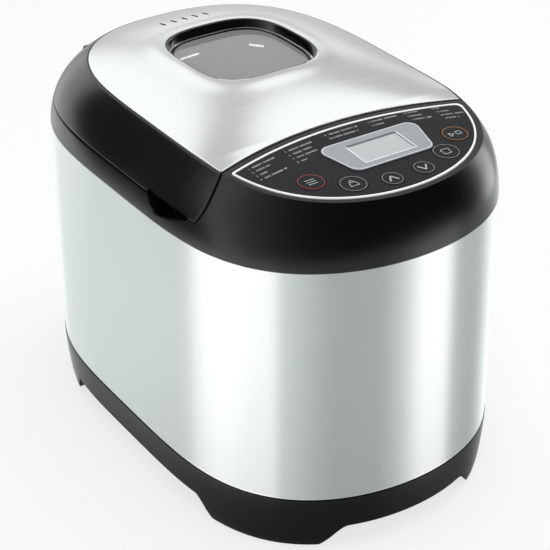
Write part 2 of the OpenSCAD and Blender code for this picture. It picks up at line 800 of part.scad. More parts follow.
module lid_liner() color("#b5b9ba") {
  rim_z = part_z + 1.7;
  difference() {
    union() {
      translate([0, 0, rim_z]) linear_extrude(liner_t) liner_flange_plan();
      translate([0, drive_y, liner_z]) slab(liner_w, liner_l, liner_r, rim_z - liner_z + 0.5);
    }
    translate([0, drive_y, liner_z + liner_t])
      slab(liner_w - 2 * liner_t, liner_l - 2 * liner_t, liner_r - liner_t, 30);
    translate([0, 0, liner_z - 1]) linear_extrude(30) window_plan(-4 - bezel_w);
    for (i = [0:vent_count - 1])
      translate([(i - (vent_count - 1) / 2) * vent_pitch, vent_y, liner_z - 1])
        slab(vent_w, vent_len, vent_w / 2 - 0.05, 5);
  }
}

module inner_glass() color("#a9b4b6", 0.5) {
  translate([0, 0, liner_z + liner_t]) linear_extrude(2) window_plan(-3);
}

module lid_seal() color("#c8c4ba") {
  translate([0, drive_y, flange_z + seat]) difference() {
    slab(liner_w + 2 * seal_w + 1, liner_l + 2 * seal_w + 1, liner_r + seal_w, part_z + 1.7 - flange_z - seat);
    translate([0, 0, -1]) slab(liner_w + 1, liner_l + 1, liner_r + 0.5, 20);
  }
}

// ---- Hinge ----

leaf_z = part_z + 6;
leaf_t = 3;
leaf_w = 36;
bracket_l = 14;
leaf_boss_x = 12;
leaf_boss_y = half_l - shoulder_rear - 4;

module lid_hinge_leaf() color("#1b1c1e") {
  difference() {
    union() {
      rod_x(knuckle_r, -knuckle_lid, knuckle_lid, hinge_y, hinge_z);
      translate([-leaf_w / 2, leaf_boss_y - 7, leaf_z]) cube([leaf_w, hinge_y - leaf_boss_y + 5, leaf_t]);
    }
    rod_x(pin_r + run_gap, -body_w, body_w, hinge_y, hinge_z);
  }
}

module frame_hinge_bracket() color("#1b1c1e") {
  knuckle_l = knuckle_frame - knuckle_lid - knuckle_gap;
  for (s = [0, 1]) mirror([s, 0, 0]) difference() {
    union() {
      rod_x(knuckle_r, knuckle_lid + knuckle_gap, knuckle_frame, hinge_y, hinge_z);
      translate([knuckle_lid + knuckle_gap, hinge_y - 5, flange_z - 3.5]) cube([knuckle_l, 9, 8]);
      translate([knuckle_lid + knuckle_gap, hinge_y - bracket_l, flange_z - 3.5]) cube([knuckle_l, bracket_l + 4, 3.2]);
    }
    rod_x(pin_r + 0.02, 0, body_w, hinge_y, hinge_z);
  }
}

module hinge_pin() color("#b9bcbe") {
  rod_x(pin_r, -knuckle_frame, knuckle_frame, hinge_y, hinge_z);
}

// ---- Chassis and baking chamber ----

module chassis_plate() color("#8f9396") {
  translate([0, 0, chassis_z]) difference() {
    linear_extrude(chassis_t) polygon(wrap_plan(9));
    translate([0, drive_y, -1]) cylinder(r = bush_r + 3, h = 5);
    translate([0, motor_y, -1]) cylinder(r = small_r + 6, h = 5);
    for (sx = [-1, 1], i = [0:4])
      translate([sx * (post_x - 28), drive_y + (i - 2) * 30, -1]) slab(24, 10, 4.9, 5);
    at_corners(post_x, post_y) translate([0, 0, -1]) cylinder(r = screw_r, h = 5);
  }
}

module oven_chamber() color("#b4b7b8") {
  difference() {
    union() {
      translate([0, drive_y, chamber_z])
        slab(chamber_w + 2 * chamber_t, chamber_l + 2 * chamber_t, chamber_r + chamber_t, flange_z - seat - chamber_z);
      translate([0, 0, flange_z - seat - chamber_t]) linear_extrude(chamber_t) intersection() {
        polygon(wrap_plan(flange_in - 2.6));
        difference() {
          translate([-body_w, drive_y - chamber_l / 2 - 7]) square([2 * body_w, body_l]);
          translate([-knuckle_frame - 1, hinge_y - bracket_l - seat]) square([2 * knuckle_frame + 2, 50]);
          for (s = [-1, 1])
            translate([s * (half_w - notch_depth - 4 - seat + 20) - 20, notch_y - notch_len - 4 - seat])
              square([40, notch_len + 8 + 2 * seat]);
        }
      }
      translate([0, drive_y, chassis_top]) at_corners(chamber_w / 2 - 26, chamber_l / 2 - 25) cylinder(r = 8, h = chamber_z - chassis_top + 0.5);
    }
    translate([0, drive_y, socket_z]) slab(chamber_w, chamber_l, chamber_r, body_l);
    translate([0, drive_y, chamber_z - 1]) cylinder(r = barrel_r + 0.4, h = 5);
    for (s = [-1, 1])
      rod_y(element_r + 1.2, drive_y - chamber_l / 2 - 5, drive_y - chamber_l / 2 + 5, s * terminal_x, element_z);
    rod_y(sensor_r + 0.3, drive_y - chamber_l / 2 - 5, drive_y - chamber_l / 2 + 5, sensor_x, sensor_z);
  }
}

// Bayonet ring that holds the pan's foot
module pan_socket() color("#c2c5c6") {
  translate([0, drive_y, socket_z]) {
    tube(socket_r, barrel_r + 1, socket_t);
    difference() {
      tube(socket_r, pan_base_r + 0.6, 11);
      for (a = [0:90:270]) rotate([0, 0, a + 45]) translate([pan_base_r - 5, -9, 5]) cube([12, 18, 10]);
    }
  }
}

// Sheathed heater bent round the chamber, its two legs leaving through the front wall
module heating_element() color("#55585a") {
  hw = element_w / 2;
  hl = element_l / 2;
  r = element_corner;
  front = drive_y - hl;
  translate([0, 0, element_z]) {
    for (s = [-1, 1]) {
      rod_y(element_r, front + r, drive_y + hl - r, s * hw, 0);
      translate([s * (hw - r), drive_y + hl - r, 0]) rotate([0, 0, s > 0 ? 0 : 90]) elbow(r);
      translate([s * (hw - r), front + r, 0]) rotate([0, 0, s > 0 ? 270 : 180]) elbow(r);
      translate([s * (terminal_x + 8), front - 8, 0]) rotate([0, 0, s > 0 ? 90 : 0]) elbow(8);
      rod_y(element_r, front - 17, front - 8, s * terminal_x, 0);
      rod_y(element_r - 1.6, front - 22, front - 16.5, s * terminal_x, 0);
    }
    rod_x(element_r, -hw + r, hw - r, drive_y + hl, 0);
    for (s = [0, 1]) mirror([s, 0, 0]) rod_x(element_r, terminal_x + 8, hw - r, front, 0);
  }
}

// Quarter bend of the heater tube
module elbow(r) {
  rotate_extrude(angle = 90) translate([r, 0]) circle(element_r);
}

module element_clips() color("#8f9396") {
  shelf = chamber_w / 2 - element_w / 2 + element_r + seat + 1.5;
  for (s = [0, 1], sy = [-1, 1]) mirror([s, 0, 0]) translate([chamber_w / 2 - shelf, drive_y + sy * 45 - 5, 0]) {
    translate([0, 0, element_z - element_r - seat - 1.5]) cube([shelf, 10, 1.5]);
    translate([shelf - 1.5, 0, element_z - element_r - seat - 1.5]) cube([1.5, 10, 14]);
    translate([0, 0, element_z - element_r - seat - 1.5]) cube([1.5, 10, 4]);
  }
}

sensor_r = 2.5;
sensor_x = 46;
sensor_z = chamber_z + 66;

module temperature_sensor() color("#d0d3d4") {
  wall_y = drive_y - chamber_l / 2 - chamber_t;
  rod_y(sensor_r, wall_y - 14, wall_y + 14, sensor_x, sensor_z);
  rod_y(sensor_r + 2.5, wall_y - 3, wall_y, sensor_x, sensor_z);
  translate([sensor_x - 12, wall_y - 1, sensor_z - 4]) cube([24, 1, 8]);
}

module thermal_fuse() color("#d9d6cc") {
  wall_y = drive_y - chamber_l / 2 - chamber_t;
  translate([-sensor_x, wall_y - 1.2, sensor_z]) {
    translate([-14, 0, -5]) cube([28, 1.2, 10]);
    rotate([90, 0, 0]) cylinder(r = 8, h = 7);
    for (s = [-1, 1]) translate([s * 4 - 0.4, -15, -3]) cube([0.8, 9, 6]);
  }
}

// ---- Drive ----

// Die-cast bearing housing with ribs between its flange and barrel
module bearing_housing() color("#a9adaf") {
  translate([0, drive_y, chassis_top]) difference() {
    union() {
      cylinder(r = 36, h = 4);
      cylinder(r = barrel_r, h = barrel_top - chassis_top);
      for (a = [0:60:300]) rotate([0, 0, a]) translate([0, -1.5, 0]) cube([31, 3, 5.8]);
    }
    translate([0, 0, -1]) cylinder(r = bush_r, h = 40);
    for (a = [30:60:330]) rotate([0, 0, a]) translate([30, 0, -1]) cylinder(r = screw_r + 0.3, h = 6);
  }
}

module shaft_bushes() color("#b08d57") {
  translate([0, drive_y, chassis_top]) {
    tube(bush_r - 0.02, shaft_r + run_gap, 7);
    translate([0, 0, barrel_top - chassis_top - 7]) tube(bush_r - 0.02, shaft_r + run_gap, 7);
  }
}

drive_hub_z = barrel_top + 0.4;
drive_hub_h = 4;

module drive_shaft() color("#c4c7c9") {
  translate([0, drive_y, pulley_z - 1.5]) cylinder(r = shaft_r, h = drive_hub_z + drive_hub_h - pulley_z + 1.5);
  translate([0, drive_y, chassis_z - 3.2]) tube(shaft_r + 2, shaft_r - 0.5, 1.2);
}

// Two upright dogs that turn the pan's coupling
module drive_coupler() color("#9b9ea0") {
  translate([0, drive_y, drive_hub_z]) {
    tube(9, shaft_r + 0.02, drive_hub_h);
    for (a = [90, 270]) rotate([0, 0, a]) intersection() {
      translate([8.6, -4, 0]) cube([8, 8, dog_h]);
      tube(16, 9, 2 * dog_h);
    }
    for (a = [90, 270]) rotate([0, 0, a]) translate([8, -4, 0]) cube([3, 8, drive_hub_h]);
  }
}

dog_h = 11;

// Multi-rib pulley: vee grooves between two flanges, a web with lightening holes
module rib_pulley(r, bore, web_r) {
  ribs = floor(belt_w / rib_pitch);
  face = [for (i = [0:ribs - 1])
    let (z = belt_z - pulley_z + rib_pitch * (i + 0.5))
    each [[r, z - 0.8], [r - rib_depth - seat, z - 0.3], [r - rib_depth - seat, z + 0.3], [r, z + 0.8]]];
  translate([0, 0, pulley_z]) difference() {
    rotate_extrude($fn = 72) polygon(concat(
      [[bore, 0], [r + flange_rise, 0], [r + flange_rise, 1.2], [r, 2]],
      face,
      [[r, pulley_h - 2], [r + flange_rise, pulley_h - 1.2], [r + flange_rise, pulley_h], [bore, pulley_h]]));
    if (web_r > 0) {
      for (z = [-1, pulley_h - 4]) translate([0, 0, z]) tube(r - 5, web_r, 5);
      for (a = [0:60:300]) rotate([0, 0, a]) translate([(r - 5 + web_r) / 2, 0, -1]) cylinder(r = 6, h = pulley_h + 2);
    }
  }
}

module large_pulley() color("#2a2b2d") {
  translate([0, drive_y, 0]) rib_pulley(big_r, shaft_r + 0.02, 11);
}

module motor_pulley() color("#c4c7c9") {
  translate([0, motor_y, 0]) rib_pulley(small_r, spindle_r + 0.02, 0);
}

// Plan of the area inside a belt line d outside the pulleys' lands
module belt_area(d) {
  lean = asin((big_r - small_r) / belt_span);
  n = [cos(lean), -sin(lean)];
  a = [0, drive_y];
  b = [0, motor_y];
  translate(a) circle(big_r + d, $fn = 96);
  translate(b) circle(small_r + d, $fn = 64);
  polygon([a + (big_r + d) * n, a, a + (big_r + d) * [-n.x, n.y],
    b + (small_r + d) * [-n.x, n.y], b, b + (small_r + d) * n]);
}

module drive_belt() color("#1a1a1b") {
  translate([0, 0, belt_z]) {
    linear_extrude(belt_w) difference() {
      belt_area(seat + belt_t);
      belt_area(seat);
    }
    for (i = [0:belt_w / rib_pitch - 1])
      translate([0, 0, rib_pitch * (i + 0.5) - 0.25]) linear_extrude(0.5) difference() {
        belt_area(seat + 0.1);
        belt_area(seat - rib_depth + 0.1);
      }
  }
}

// ---- Motor ----

module at_motor(z) {
  translate([0, motor_y, z]) children();
}

module motor_stator() color("#7d8184") {
  at_motor(stator_z) difference() {
    intersection() {
      cylinder(r = stator_r, h = stator_h);
      translate([-stator_a, -stator_a, 0]) cube([2 * stator_a, 2 * stator_a, stator_h]);
    }
    translate([0, 0, -1]) cylinder(r = rotor_r + 0.5, h = stator_h + 2);
    for (a = [0:15:345]) rotate([0, 0, a]) translate([rotor_r + 4.5, 0, -1]) cylinder(r = 2.2, h = stator_h + 2, $fn = 16);
  }
}

module motor_windings() color("#b5692f") {
  at_motor(0) for (z = [stator_z - spider_gap + 1.5, stator_z + stator_h])
    translate([0, 0, z]) rotate_extrude() translate([rotor_r + 1.5, 0]) square([9, spider_gap - 1.5]);
}

module motor_rotor() color("#9b9ea0") {
  at_motor(stator_z + 1) cylinder(r = rotor_r, h = stator_h - 2);
  at_motor(pulley_z - 1.5) cylinder(r = spindle_r, h = stator_z + stator_h + spider_gap + spider_t + 15 - pulley_z);
}

// X-shaped end bracket, its four pillars seated on the stator
module spider(flip) {
  arm = stator_r - 2;
  difference() {
    union() {
      for (a = [45, 135]) rotate([0, 0, a]) translate([-arm, -5, 0]) cube([2 * arm, 10, spider_t]);
      cylinder(r = 10, h = spider_t);
      at_corners(27, 27) translate([0, 0, flip ? -spider_gap : 0]) cylinder(r = 4, h = spider_gap + spider_t);
    }
    translate([0, 0, -10]) cylinder(r = spindle_r + run_gap, h = 30);
  }
}

module motor_brackets() color("#b0b3b5") {
  at_motor(stator_z - spider_gap - spider_t) spider(false);
  at_motor(stator_z + stator_h + spider_gap) spider(true);
  grommet_top = chassis_top + grommet_h;
  at_motor(grommet_top) at_corners(27, 27) cylinder(r = 4, h = stator_z - spider_gap - spider_t - grommet_top + 0.5);
}

grommet_h = 3;

module motor_grommets() color("#1c1c1d") {
  at_motor(chassis_top) at_corners(27, 27) cylinder(r = 6, h = grommet_h);
}

module motor_fan() color("#e4e4df") {
  at_motor(stator_z + stator_h + spider_gap + spider_t + 2) {
    tube(8, spindle_r + 0.02, 11);
    for (a = [0:45:315]) rotate([0, 0, a]) translate([6.5, -0.75, 0]) rotate([0, 0, 8]) cube([26, 1.5, 11]);
    tube(30, 7, 1.2);
  }
}

module run_capacitor() color("#e6e6e2") {
  translate([44 - half_w, 63.75 - half_l, chassis_top]) {
    cylinder(r = 15, h = 48);
    for (s = [-1, 1]) translate([s * 5 - 0.4, -3, 47.5]) cube([0.8, 6, 9]);
  }
}

// Mains board on two standoffs with relay, transformer and capacitor
module power_board() color("#3f7a4d") {
  translate([half_w - 52, 63.75 - half_l, chassis_top]) {
    for (s = [-1, 1]) translate([0, s * 22, 0]) cylinder(r = 3, h = 6.5);
    translate([-15, -28, 6]) cube([30, 56, 1.6]);
    translate([-12, -24, 7]) cube([22, 20, 19]);
    translate([-10, 2, 7]) cube([16, 20, 15]);
    translate([9, 12, 7]) cylinder(r = 5, h = 17);
  }
}

// ---- Pan, handle and paddle ----

module baking_pan() color("#5a5c5e") {
  ear_y = 8;
  translate([0, drive_y, 0]) {
    difference() {
      union() {
        translate([0, 0, pan_z]) slab(pan_w, pan_l, pan_r, pan_h);
        translate([0, 0, pan_z + pan_h - 2]) slab(pan_w + 7, pan_l + 7, pan_r + 3.5, 2);
      }
      translate([0, 0, pan_floor]) slab(pan_w - 2 * pan_t, pan_l - 2 * pan_t, pan_r - pan_t, body_l);
      translate([0, 0, pan_z - 1]) cylinder(r = spindle_r + 0.6, h = 5);
    }
    for (s = [0, 1]) mirror([s, 0, 0]) {
      translate([pan_w / 2 - 0.5, -ear_y, handle_z - ear_y]) cube([2.5, 2 * ear_y, ear_y + 9]);
      rod_x(2.5, pan_w / 2 + 1, handle_x + 4, 0, handle_z);
    }
  }
}

// Wire bail that folds down against the rear of the pan
module pan_handle() color("#c4c7c9") {
  bend = handle_bend;
  translate([0, drive_y, handle_z]) {
    for (s = [0, 1]) mirror([s, 0, 0]) {
      difference() {
        rod_x(5.5, handle_x - 2, handle_x + 2, 0, 0);
        rod_x(2.5 + run_gap, 0, body_w, 0, 0);
      }
      rod_y(handle_rod, 4.5, handle_reach - bend, handle_x, 0);
      translate([handle_x - bend, handle_reach - bend, 0]) rotate_extrude(angle = 90) translate([bend, 0]) circle(handle_rod);
    }
    rod_x(handle_rod, bend - handle_x, handle_x - bend, handle_reach, 0);
  }
}

// Cast foot of the pan: skirt with four windows, hub round the pan shaft
module pan_base() color("#a9adaf") {
  translate([0, drive_y, pan_seat_z]) difference() {
    union() {
      tube(pan_base_r, pan_base_r - 3.5, pan_base_h);
      translate([0, 0, pan_base_h - 3]) cylinder(r = pan_base_r - 1, h = 3);
      translate([0, 0, pan_base_h - 10]) cylinder(r = 11, h = 10);
    }
    translate([0, 0, -1]) cylinder(r = spindle_r + run_gap, h = 60);
    for (a = [0:90:270]) rotate([0, 0, a]) translate([30, -12, 13]) cube([30, 24, 12]);
  }
}

coupling_z = drive_hub_z + drive_hub_h + 0.6;

module pan_shaft() color("#c4c7c9") {
  translate([0, drive_y, coupling_z]) cylinder(r = spindle_r, h = pan_floor + 28 - coupling_z);
}

// Winged nut under the pan, driven by the dogs
module pan_coupling() color("#9b9ea0") {
  translate([0, drive_y, coupling_z]) difference() {
    union() {
      cylinder(r = 8, h = 7);
      translate([-15, -2.5, 0]) cube([30, 5, 6]);
    }
    translate([0, 0, -1]) cylinder(r = spindle_r + 0.02, h = 10);
  }
}

module shaft_seal() color("#a33b2a") {
  translate([0, drive_y, pan_floor]) tube(9, spindle_r + run_gap, 1.6);
}

// Paddle: hub on the pan shaft and one blade that sweeps the pan's floor
module kneading_paddle() color("#6b6d6f") {
  blade_t = 4;
  translate([0, drive_y, pan_floor + 2]) {
    difference() {
      union() {
        cylinder(r1 = 10, r2 = 8, h = 22);
        translate([0, blade_t / 2, 0]) rotate([90, 0, 0]) linear_extrude(blade_t)
          polygon(concat([[0, 0], [44, 0]],
            [for (i = [0:8]) [44 - 24 * (1 - cos(i * 11.25)), 8 + 20 * sin(i * 11.25)]],
            [[6, 28], [0, 22]]));
      }
      translate([0, 0, -1]) cylinder(r = spindle_r + 0.02, h = 60);
    }
  }
}

// ---- Output ----

base_moulding();
bottom_plate();
case_screws();
rubber_feet();
steel_wrap();
upper_frame();
control_panel();
panel_trim();
display_bezel();
lcd_window();
menu_key();
weight_key();
up_key();
down_key();
crust_key();
start_stop_key();
lid_shell();
lid_cover();
window_bezel();
window_glass();
lid_liner();
inner_glass();
lid_seal();
lid_hinge_leaf();
frame_hinge_bracket();
hinge_pin();
cord_gland();
chassis_plate();
oven_chamber();
pan_socket();
heating_element();
element_clips();
temperature_sensor();
thermal_fuse();
bearing_housing();
shaft_bushes();
drive_shaft();
drive_coupler();
large_pulley();
drive_belt();
motor_pulley();
motor_stator();
motor_windings();
motor_rotor();
motor_brackets();
motor_grommets();
motor_fan();
run_capacitor();
control_board();
display_module();
key_switches();
power_board();
baking_pan();
pan_handle();
pan_base();
pan_shaft();
pan_coupling();
shaft_seal();
kneading_paddle();
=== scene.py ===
import math

import bmesh
import bpy
import numpy as np
from mathutils import Matrix, Vector


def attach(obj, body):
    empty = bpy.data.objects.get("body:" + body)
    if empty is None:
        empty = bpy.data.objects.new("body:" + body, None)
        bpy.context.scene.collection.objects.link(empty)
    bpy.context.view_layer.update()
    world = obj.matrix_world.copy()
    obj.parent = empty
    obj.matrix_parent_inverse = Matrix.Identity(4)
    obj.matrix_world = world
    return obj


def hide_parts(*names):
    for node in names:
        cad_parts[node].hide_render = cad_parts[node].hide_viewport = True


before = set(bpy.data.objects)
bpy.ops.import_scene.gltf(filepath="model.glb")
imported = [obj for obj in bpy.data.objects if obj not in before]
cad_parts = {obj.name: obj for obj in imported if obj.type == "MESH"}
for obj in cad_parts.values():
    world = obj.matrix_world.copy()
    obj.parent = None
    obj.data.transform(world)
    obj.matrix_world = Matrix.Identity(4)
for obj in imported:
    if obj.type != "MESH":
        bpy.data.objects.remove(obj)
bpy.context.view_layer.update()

MM = 0.001

# ---------------------------------------------------------------- sizes in millimetres
HALF_W, HALF_L = 116.0, 175.75
SIDE_POWER = 3.85
PROUD = 1.0
BASE_H, BAND_Z, PART_Z, SEAM_Z = 41.0, 210.5, 226.0, 259.0
BAND_H = PART_Z - BAND_Z
SIDE_H = SEAM_Z - BAND_Z
CURL_START, CURL_POWER = 24.0, 3.46
TOP_MID_Y = -20.0
TOP_A = HALF_W - 20.0
TOP_FRONT = HALF_L - 7.0 + TOP_MID_Y
TOP_REAR = HALF_L - 36.0 - TOP_MID_Y
CROWN_H, CROWN_REACH, SWELL_H, COVER_T = 18.0, 106.0, 0.7, 1.0
FRONT_APEX, FRONT_SAG, CORNER_FLARE = -77.0, 18.0, 14.0
PANEL_SLOPE, FRONT_GAP = 0.07, 0.8
WINDOW_A, WINDOW_B, WINDOW_POWER, WINDOW_Y = 43.5, 46.0, 3.3, 29.0
RECESS_H = 7.5
BEZEL_IN = 2.8
VENT_Y, VENT_W, VENT_LEN, VENT_PITCH = 102.9, 1.8, 9.0, 8.7
LCD_X, LCD_Y, LCD_W, LCD_H = 9.0, -117.0, 38.0, 22.0
HINGE_Y, HINGE_Z = 166.0, 230.0
LID_U = (BAND_H + 0.8) / SIDE_H
KEYS = {
    "menu_key": (-51.8, -129.5, 9.0),
    "weight_key": (-31.0, -143.8, 9.0),
    "up_key": (-6.8, -150.7, 7.2),
    "down_key": (17.6, -149.9, 7.2),
    "crust_key": (41.4, -141.6, 9.0),
    "start_stop_key": (60.1, -126.8, 9.0),
}


# ---------------------------------------------------------------- materials
def linear(hex_colour):
    """sRGB hex to linear RGBA."""
    values = [int(hex_colour[i:i + 2], 16) / 255 for i in (1, 3, 5)]
    return tuple(v / 12.92 if v <= 0.04045 else ((v + 0.055) / 1.055) ** 2.4 for v in values) + (1.0,)


def node(tree, kind, links=None, props=None, **values):
    """Adds a node, sets its properties and input values, and links its inputs."""
    made = tree.nodes.new(kind)
    for key, value in (props or {}).items():
        setattr(made, key, value)
    for key, value in values.items():
        made.inputs[key.replace("_", " ")].default_value = value
    for key, source in (links or {}).items():
        tree.links.new(source, made.inputs[key])
    return made


def start(name):
    material = bpy.data.materials.new(name)
    material.use_nodes = True
    tree = material.node_tree
    tree.nodes.clear()
    where = node(tree, "ShaderNodeTexCoord")
    return material, tree, where.outputs["Object"]


def finish_material(tree, shader):
    node(tree, "ShaderNodeOutputMaterial", {"Surface": shader.outputs[0]})


def ramp(tree, source, stops):
    """Colour ramp over a factor; stops are (place, colour)."""
    made = node(tree, "ShaderNodeValToRGB", {"Fac": source})
    elements = made.color_ramp.elements
    while len(elements) < len(stops):
        elements.new(0.5)
    for element, (place, colour) in zip(elements, stops):
        element.position = place
        element.color = colour if isinstance(colour, tuple) else (colour, colour, colour, 1)
    return made.outputs["Color"]


def brushed(name, tone_a, tone_b, lines, rough, anisotropic=0.0, bump=0.02):
    """Brushed sheet metal: hairlines in two sizes that run the way in which the scale in lines is small."""
    material, tree, where = start(name)
    layers = []
    for factor in (1.0, 2.3):
        scaled = node(tree, "ShaderNodeMapping", {"Vector": where}, Scale=tuple(factor * v for v in lines))
        layers.append(node(tree, "ShaderNodeTexNoise", {"Vector": scaled.outputs[0]}, Scale=1.0, Detail=2.0))
    both = node(tree, "ShaderNodeMath", {0: layers[0].outputs["Fac"], 1: layers[1].outputs["Fac"]},
                {"operation": "ADD"})
    hair = node(tree, "ShaderNodeMapRange", {"Value": both.outputs[0]}, From_Min=0.7, From_Max=1.3)
    colour = node(tree, "ShaderNodeMix", {"Factor": hair.outputs[0]}, {"data_type": "RGBA"})
    colour.inputs[6].default_value = linear(tone_a)
    colour.inputs[7].default_value = linear(tone_b)
    roughness = node(tree, "ShaderNodeMapRange", {"Value": hair.outputs[0]}, To_Min=rough * 0.9,
                     To_Max=rough * 1.1)
    height = node(tree, "ShaderNodeBump", {"Height": hair.outputs[0]}, Strength=bump, Distance=0.0003)
    shader = node(tree, "ShaderNodeBsdfPrincipled", {
        "Base Color": colour.outputs[2], "Roughness": roughness.outputs[0], "Normal": height.outputs[0]},
        Metallic=1.0)
    if anisotropic:
        shader.inputs["Anisotropic"].default_value = anisotropic
        shader.inputs["Anisotropic Rotation"].default_value = 0.25
        tangent = node(tree, "ShaderNodeTangent", props={"direction_type": "RADIAL", "axis": "Z"})
        tree.links.new(tangent.outputs[0], shader.inputs["Tangent"])
    finish_material(tree, shader)
    return material


def moulded(name, tone_a, tone_b, rough, grain=0.0, grain_mm=0.6, spread=0.12, coat=0.0, metallic=0.0,
            specular=0.5):
    """Moulded plastic, rubber or a coated part: slight tone change, fine grain and uneven gloss."""
    material, tree, where = start(name)
    cloud = node(tree, "ShaderNodeTexNoise", {"Vector": where}, Scale=14.0, Detail=3.0)
    speck = node(tree, "ShaderNodeTexNoise", {"Vector": where}, Scale=1000.0 / grain_mm, Detail=2.0)
    colour = node(tree, "ShaderNodeMix", {"Factor": cloud.outputs["Fac"]}, {"data_type": "RGBA"})
    colour.inputs[6].default_value = linear(tone_a)
    colour.inputs[7].default_value = linear(tone_b)
    roughness = node(tree, "ShaderNodeMapRange", {"Value": cloud.outputs["Fac"]},
                     From_Min=0.3, From_Max=0.7, To_Min=rough * (1 - spread), To_Max=rough * (1 + spread))
    shader = node(tree, "ShaderNodeBsdfPrincipled", {
        "Base Color": colour.outputs[2], "Roughness": roughness.outputs[0]}, Metallic=metallic)
    shader.inputs["Specular IOR Level"].default_value = specular
    if coat:
        shader.inputs["Coat Weight"].default_value = coat
        shader.inputs["Coat Roughness"].default_value = 0.06
    if grain:
        height = node(tree, "ShaderNodeBump", {"Height": speck.outputs["Fac"]}, Strength=grain,
                      Distance=0.0002)
        tree.links.new(height.outputs[0], shader.inputs["Normal"])
    finish_material(tree, shader)
    return material


def glass(name, tone, rough, through, coat=0.0):
    """Tinted sheet glass with a faint unevenness."""
    material, tree, where = start(name)
    cloud = node(tree, "ShaderNodeTexNoise", {"Vector": where}, Scale=6.0, Detail=1.0)
    roughness = node(tree, "ShaderNodeMapRange", {"Value": cloud.outputs["Fac"]}, To_Min=rough * 0.8,
                     To_Max=rough * 1.2)
    shader = node(tree, "ShaderNodeBsdfPrincipled", {"Roughness": roughness.outputs[0]}, Metallic=0.0,
                  IOR=1.5)
    shader.inputs["Base Color"].default_value = linear(tone)
    shader.inputs["Transmission Weight"].default_value = through
    shader.inputs["Coat Weight"].default_value = coat
    finish_material(tree, shader)
    return material


# Cold-rolled stainless sheet, brushed round the body: level hairlines about 0.8 mm thick and 25 mm long
WRAP_STEEL = brushed("brushed_stainless_wrap", "#dadddd", "#e2e5e5", (40, 40, 1250), 0.23, anisotropic=0.75,
                     bump=0.03)
# The same sheet drawn into the dome and brushed across it
COVER_STEEL = brushed("brushed_stainless_cover", "#dcdfdf", "#e2e5e5", (40, 1250, 40), 0.22, bump=0.012)
# The cover's folded steel edge round the window, painted near-black inside the recess as painted shade and a
# painted dark reflection
FOLD_PAINTED_DARK = moulded("steel_fold_painted_dark_reflection", "#060607", "#0a0a0b", 0.12, coat=0.5, specular=0.35)
# Glossy black ABS: almost black, with soft wide reflections
BLACK_ABS = moulded("black_abs_gloss", "#040405", "#070708", 0.2, grain=0.02, grain_mm=1.2, specular=0.5)
# The base is the same ABS with a finer, duller tool finish
BASE_ABS = moulded("black_abs_satin", "#060607", "#09090a", 0.3, grain=0.06, grain_mm=0.8, specular=0.3)
# Polycarbonate key and panel film, printed from behind: charcoal under a thin gloss
PANEL_FILM = moulded("printed_polycarbonate_film", "#18191b", "#1c1d1f", 0.36, grain=0.04, specular=0.12)
KEY_FILM = moulded("key_cap_polycarbonate", "#17181a", "#1b1c1e", 0.34, grain=0.04, specular=0.12)
WHITE_INK = moulded("screen_ink_white", "#a9acae", "#b6b9ba", 0.5)
GREY_INK = moulded("screen_ink_grey", "#7d8184", "#878b8e", 0.5)
RED_INK = moulded("screen_ink_red", "#a03036", "#ab383c", 0.5)
ORANGE_INK = moulded("screen_ink_orange", "#a86a2c", "#b27434", 0.5)
TRIM_PAINT = moulded("white_lacquered_trim", "#f6f7f8", "#fdfdfd", 0.3, coat=0.3)
DISPLAY_PAINT = moulded("silver_lacquered_bezel", "#989da0", "#a4a9ac", 0.42, metallic=0.35, grain=0.05)
DISPLAY_RIM = moulded("silver_lacquer_edge", "#d3d7d9", "#dde0e1", 0.35)
SHADE_INK = moulded("screen_ink_dark", "#4c5053", "#565a5d", 0.5)
LCD_FILM = moulded("liquid_crystal_glass", "#b3b9b8", "#bcc2c1", 0.22, coat=0.3)
# Painted shade: a grey line along the LCD's top edge, standing for the shade of the recess wall
LCD_PAINTED_SHADE = moulded("painted_shade_lcd_edge", "#6d7273", "#777c7d", 0.3)
# Painted highlight: near-white lines on the LCD's left, bottom and right edges, standing for light caught by the
# plate's rim
LCD_PAINTED_HIGHLIGHT = moulded("painted_highlight_lcd_edge", "#f0f2f2", "#f6f7f7", 0.3)
BEZEL_PLASTIC = moulded("black_pbt_gloss", "#060607", "#09090a", 0.16, coat=0.3, specular=0.3)
WINDOW_GLASS = glass("grey_tempered_glass", "#8b8d8d", 0.015, 0.2)
CLEAR_GLASS = glass("clear_tempered_glass", "#dfe6e6", 0.03, 0.92)
LINER_METAL = brushed("anodised_aluminium_liner", "#a9adaf", "#b8bcbe", (12, 300, 12), 0.38)
CHAMBER_METAL = brushed("aluminised_steel_chamber", "#a3a7a8", "#b6babb", (16, 16, 240), 0.42)
SHEET_STEEL = moulded("galvanised_sheet", "#8c9194", "#a6abad", 0.42, metallic=0.9, grain=0.1)
SILICONE = moulded("moulded_silicone", "#bcb7ab", "#c6c1b6", 0.6, grain=0.1)
HINGE_PLASTIC = moulded("black_nylon_satin", "#15161a", "#1b1c1f", 0.42, grain=0.15)
SCREW_STEEL = moulded("zinc_plated_steel", "#a5a8aa", "#b9bcbd", 0.3, metallic=1.0)
SHAFT_STEEL = moulded("ground_steel", "#b1b4b6", "#c2c5c7", 0.22, metallic=1.0)
FOOT_RUBBER = moulded("nitrile_rubber", "#1a1b1c", "#232425", 0.75, grain=0.25)
HEATER_SHEATH = moulded("heat_stained_incoloy", "#3a3a3c", "#57514b", 0.45, metallic=0.7, grain=0.1)
CERAMIC = moulded("steatite_ceramic", "#d5d0c5", "#dedad0", 0.55, grain=0.1)
CAST_ALLOY = moulded("die_cast_aluminium", "#8f9395", "#a0a4a5", 0.46, metallic=0.9, grain=0.3)
BRONZE = moulded("sintered_bronze", "#9b7b45", "#ab8b52", 0.4, metallic=1.0, grain=0.3)
PULLEY_PLASTIC = moulded("glass_filled_nylon", "#202124", "#292a2d", 0.5, grain=0.2)
BELT_RUBBER = moulded("ribbed_belt_rubber", "#191a1a", "#212222", 0.7, grain=0.3)
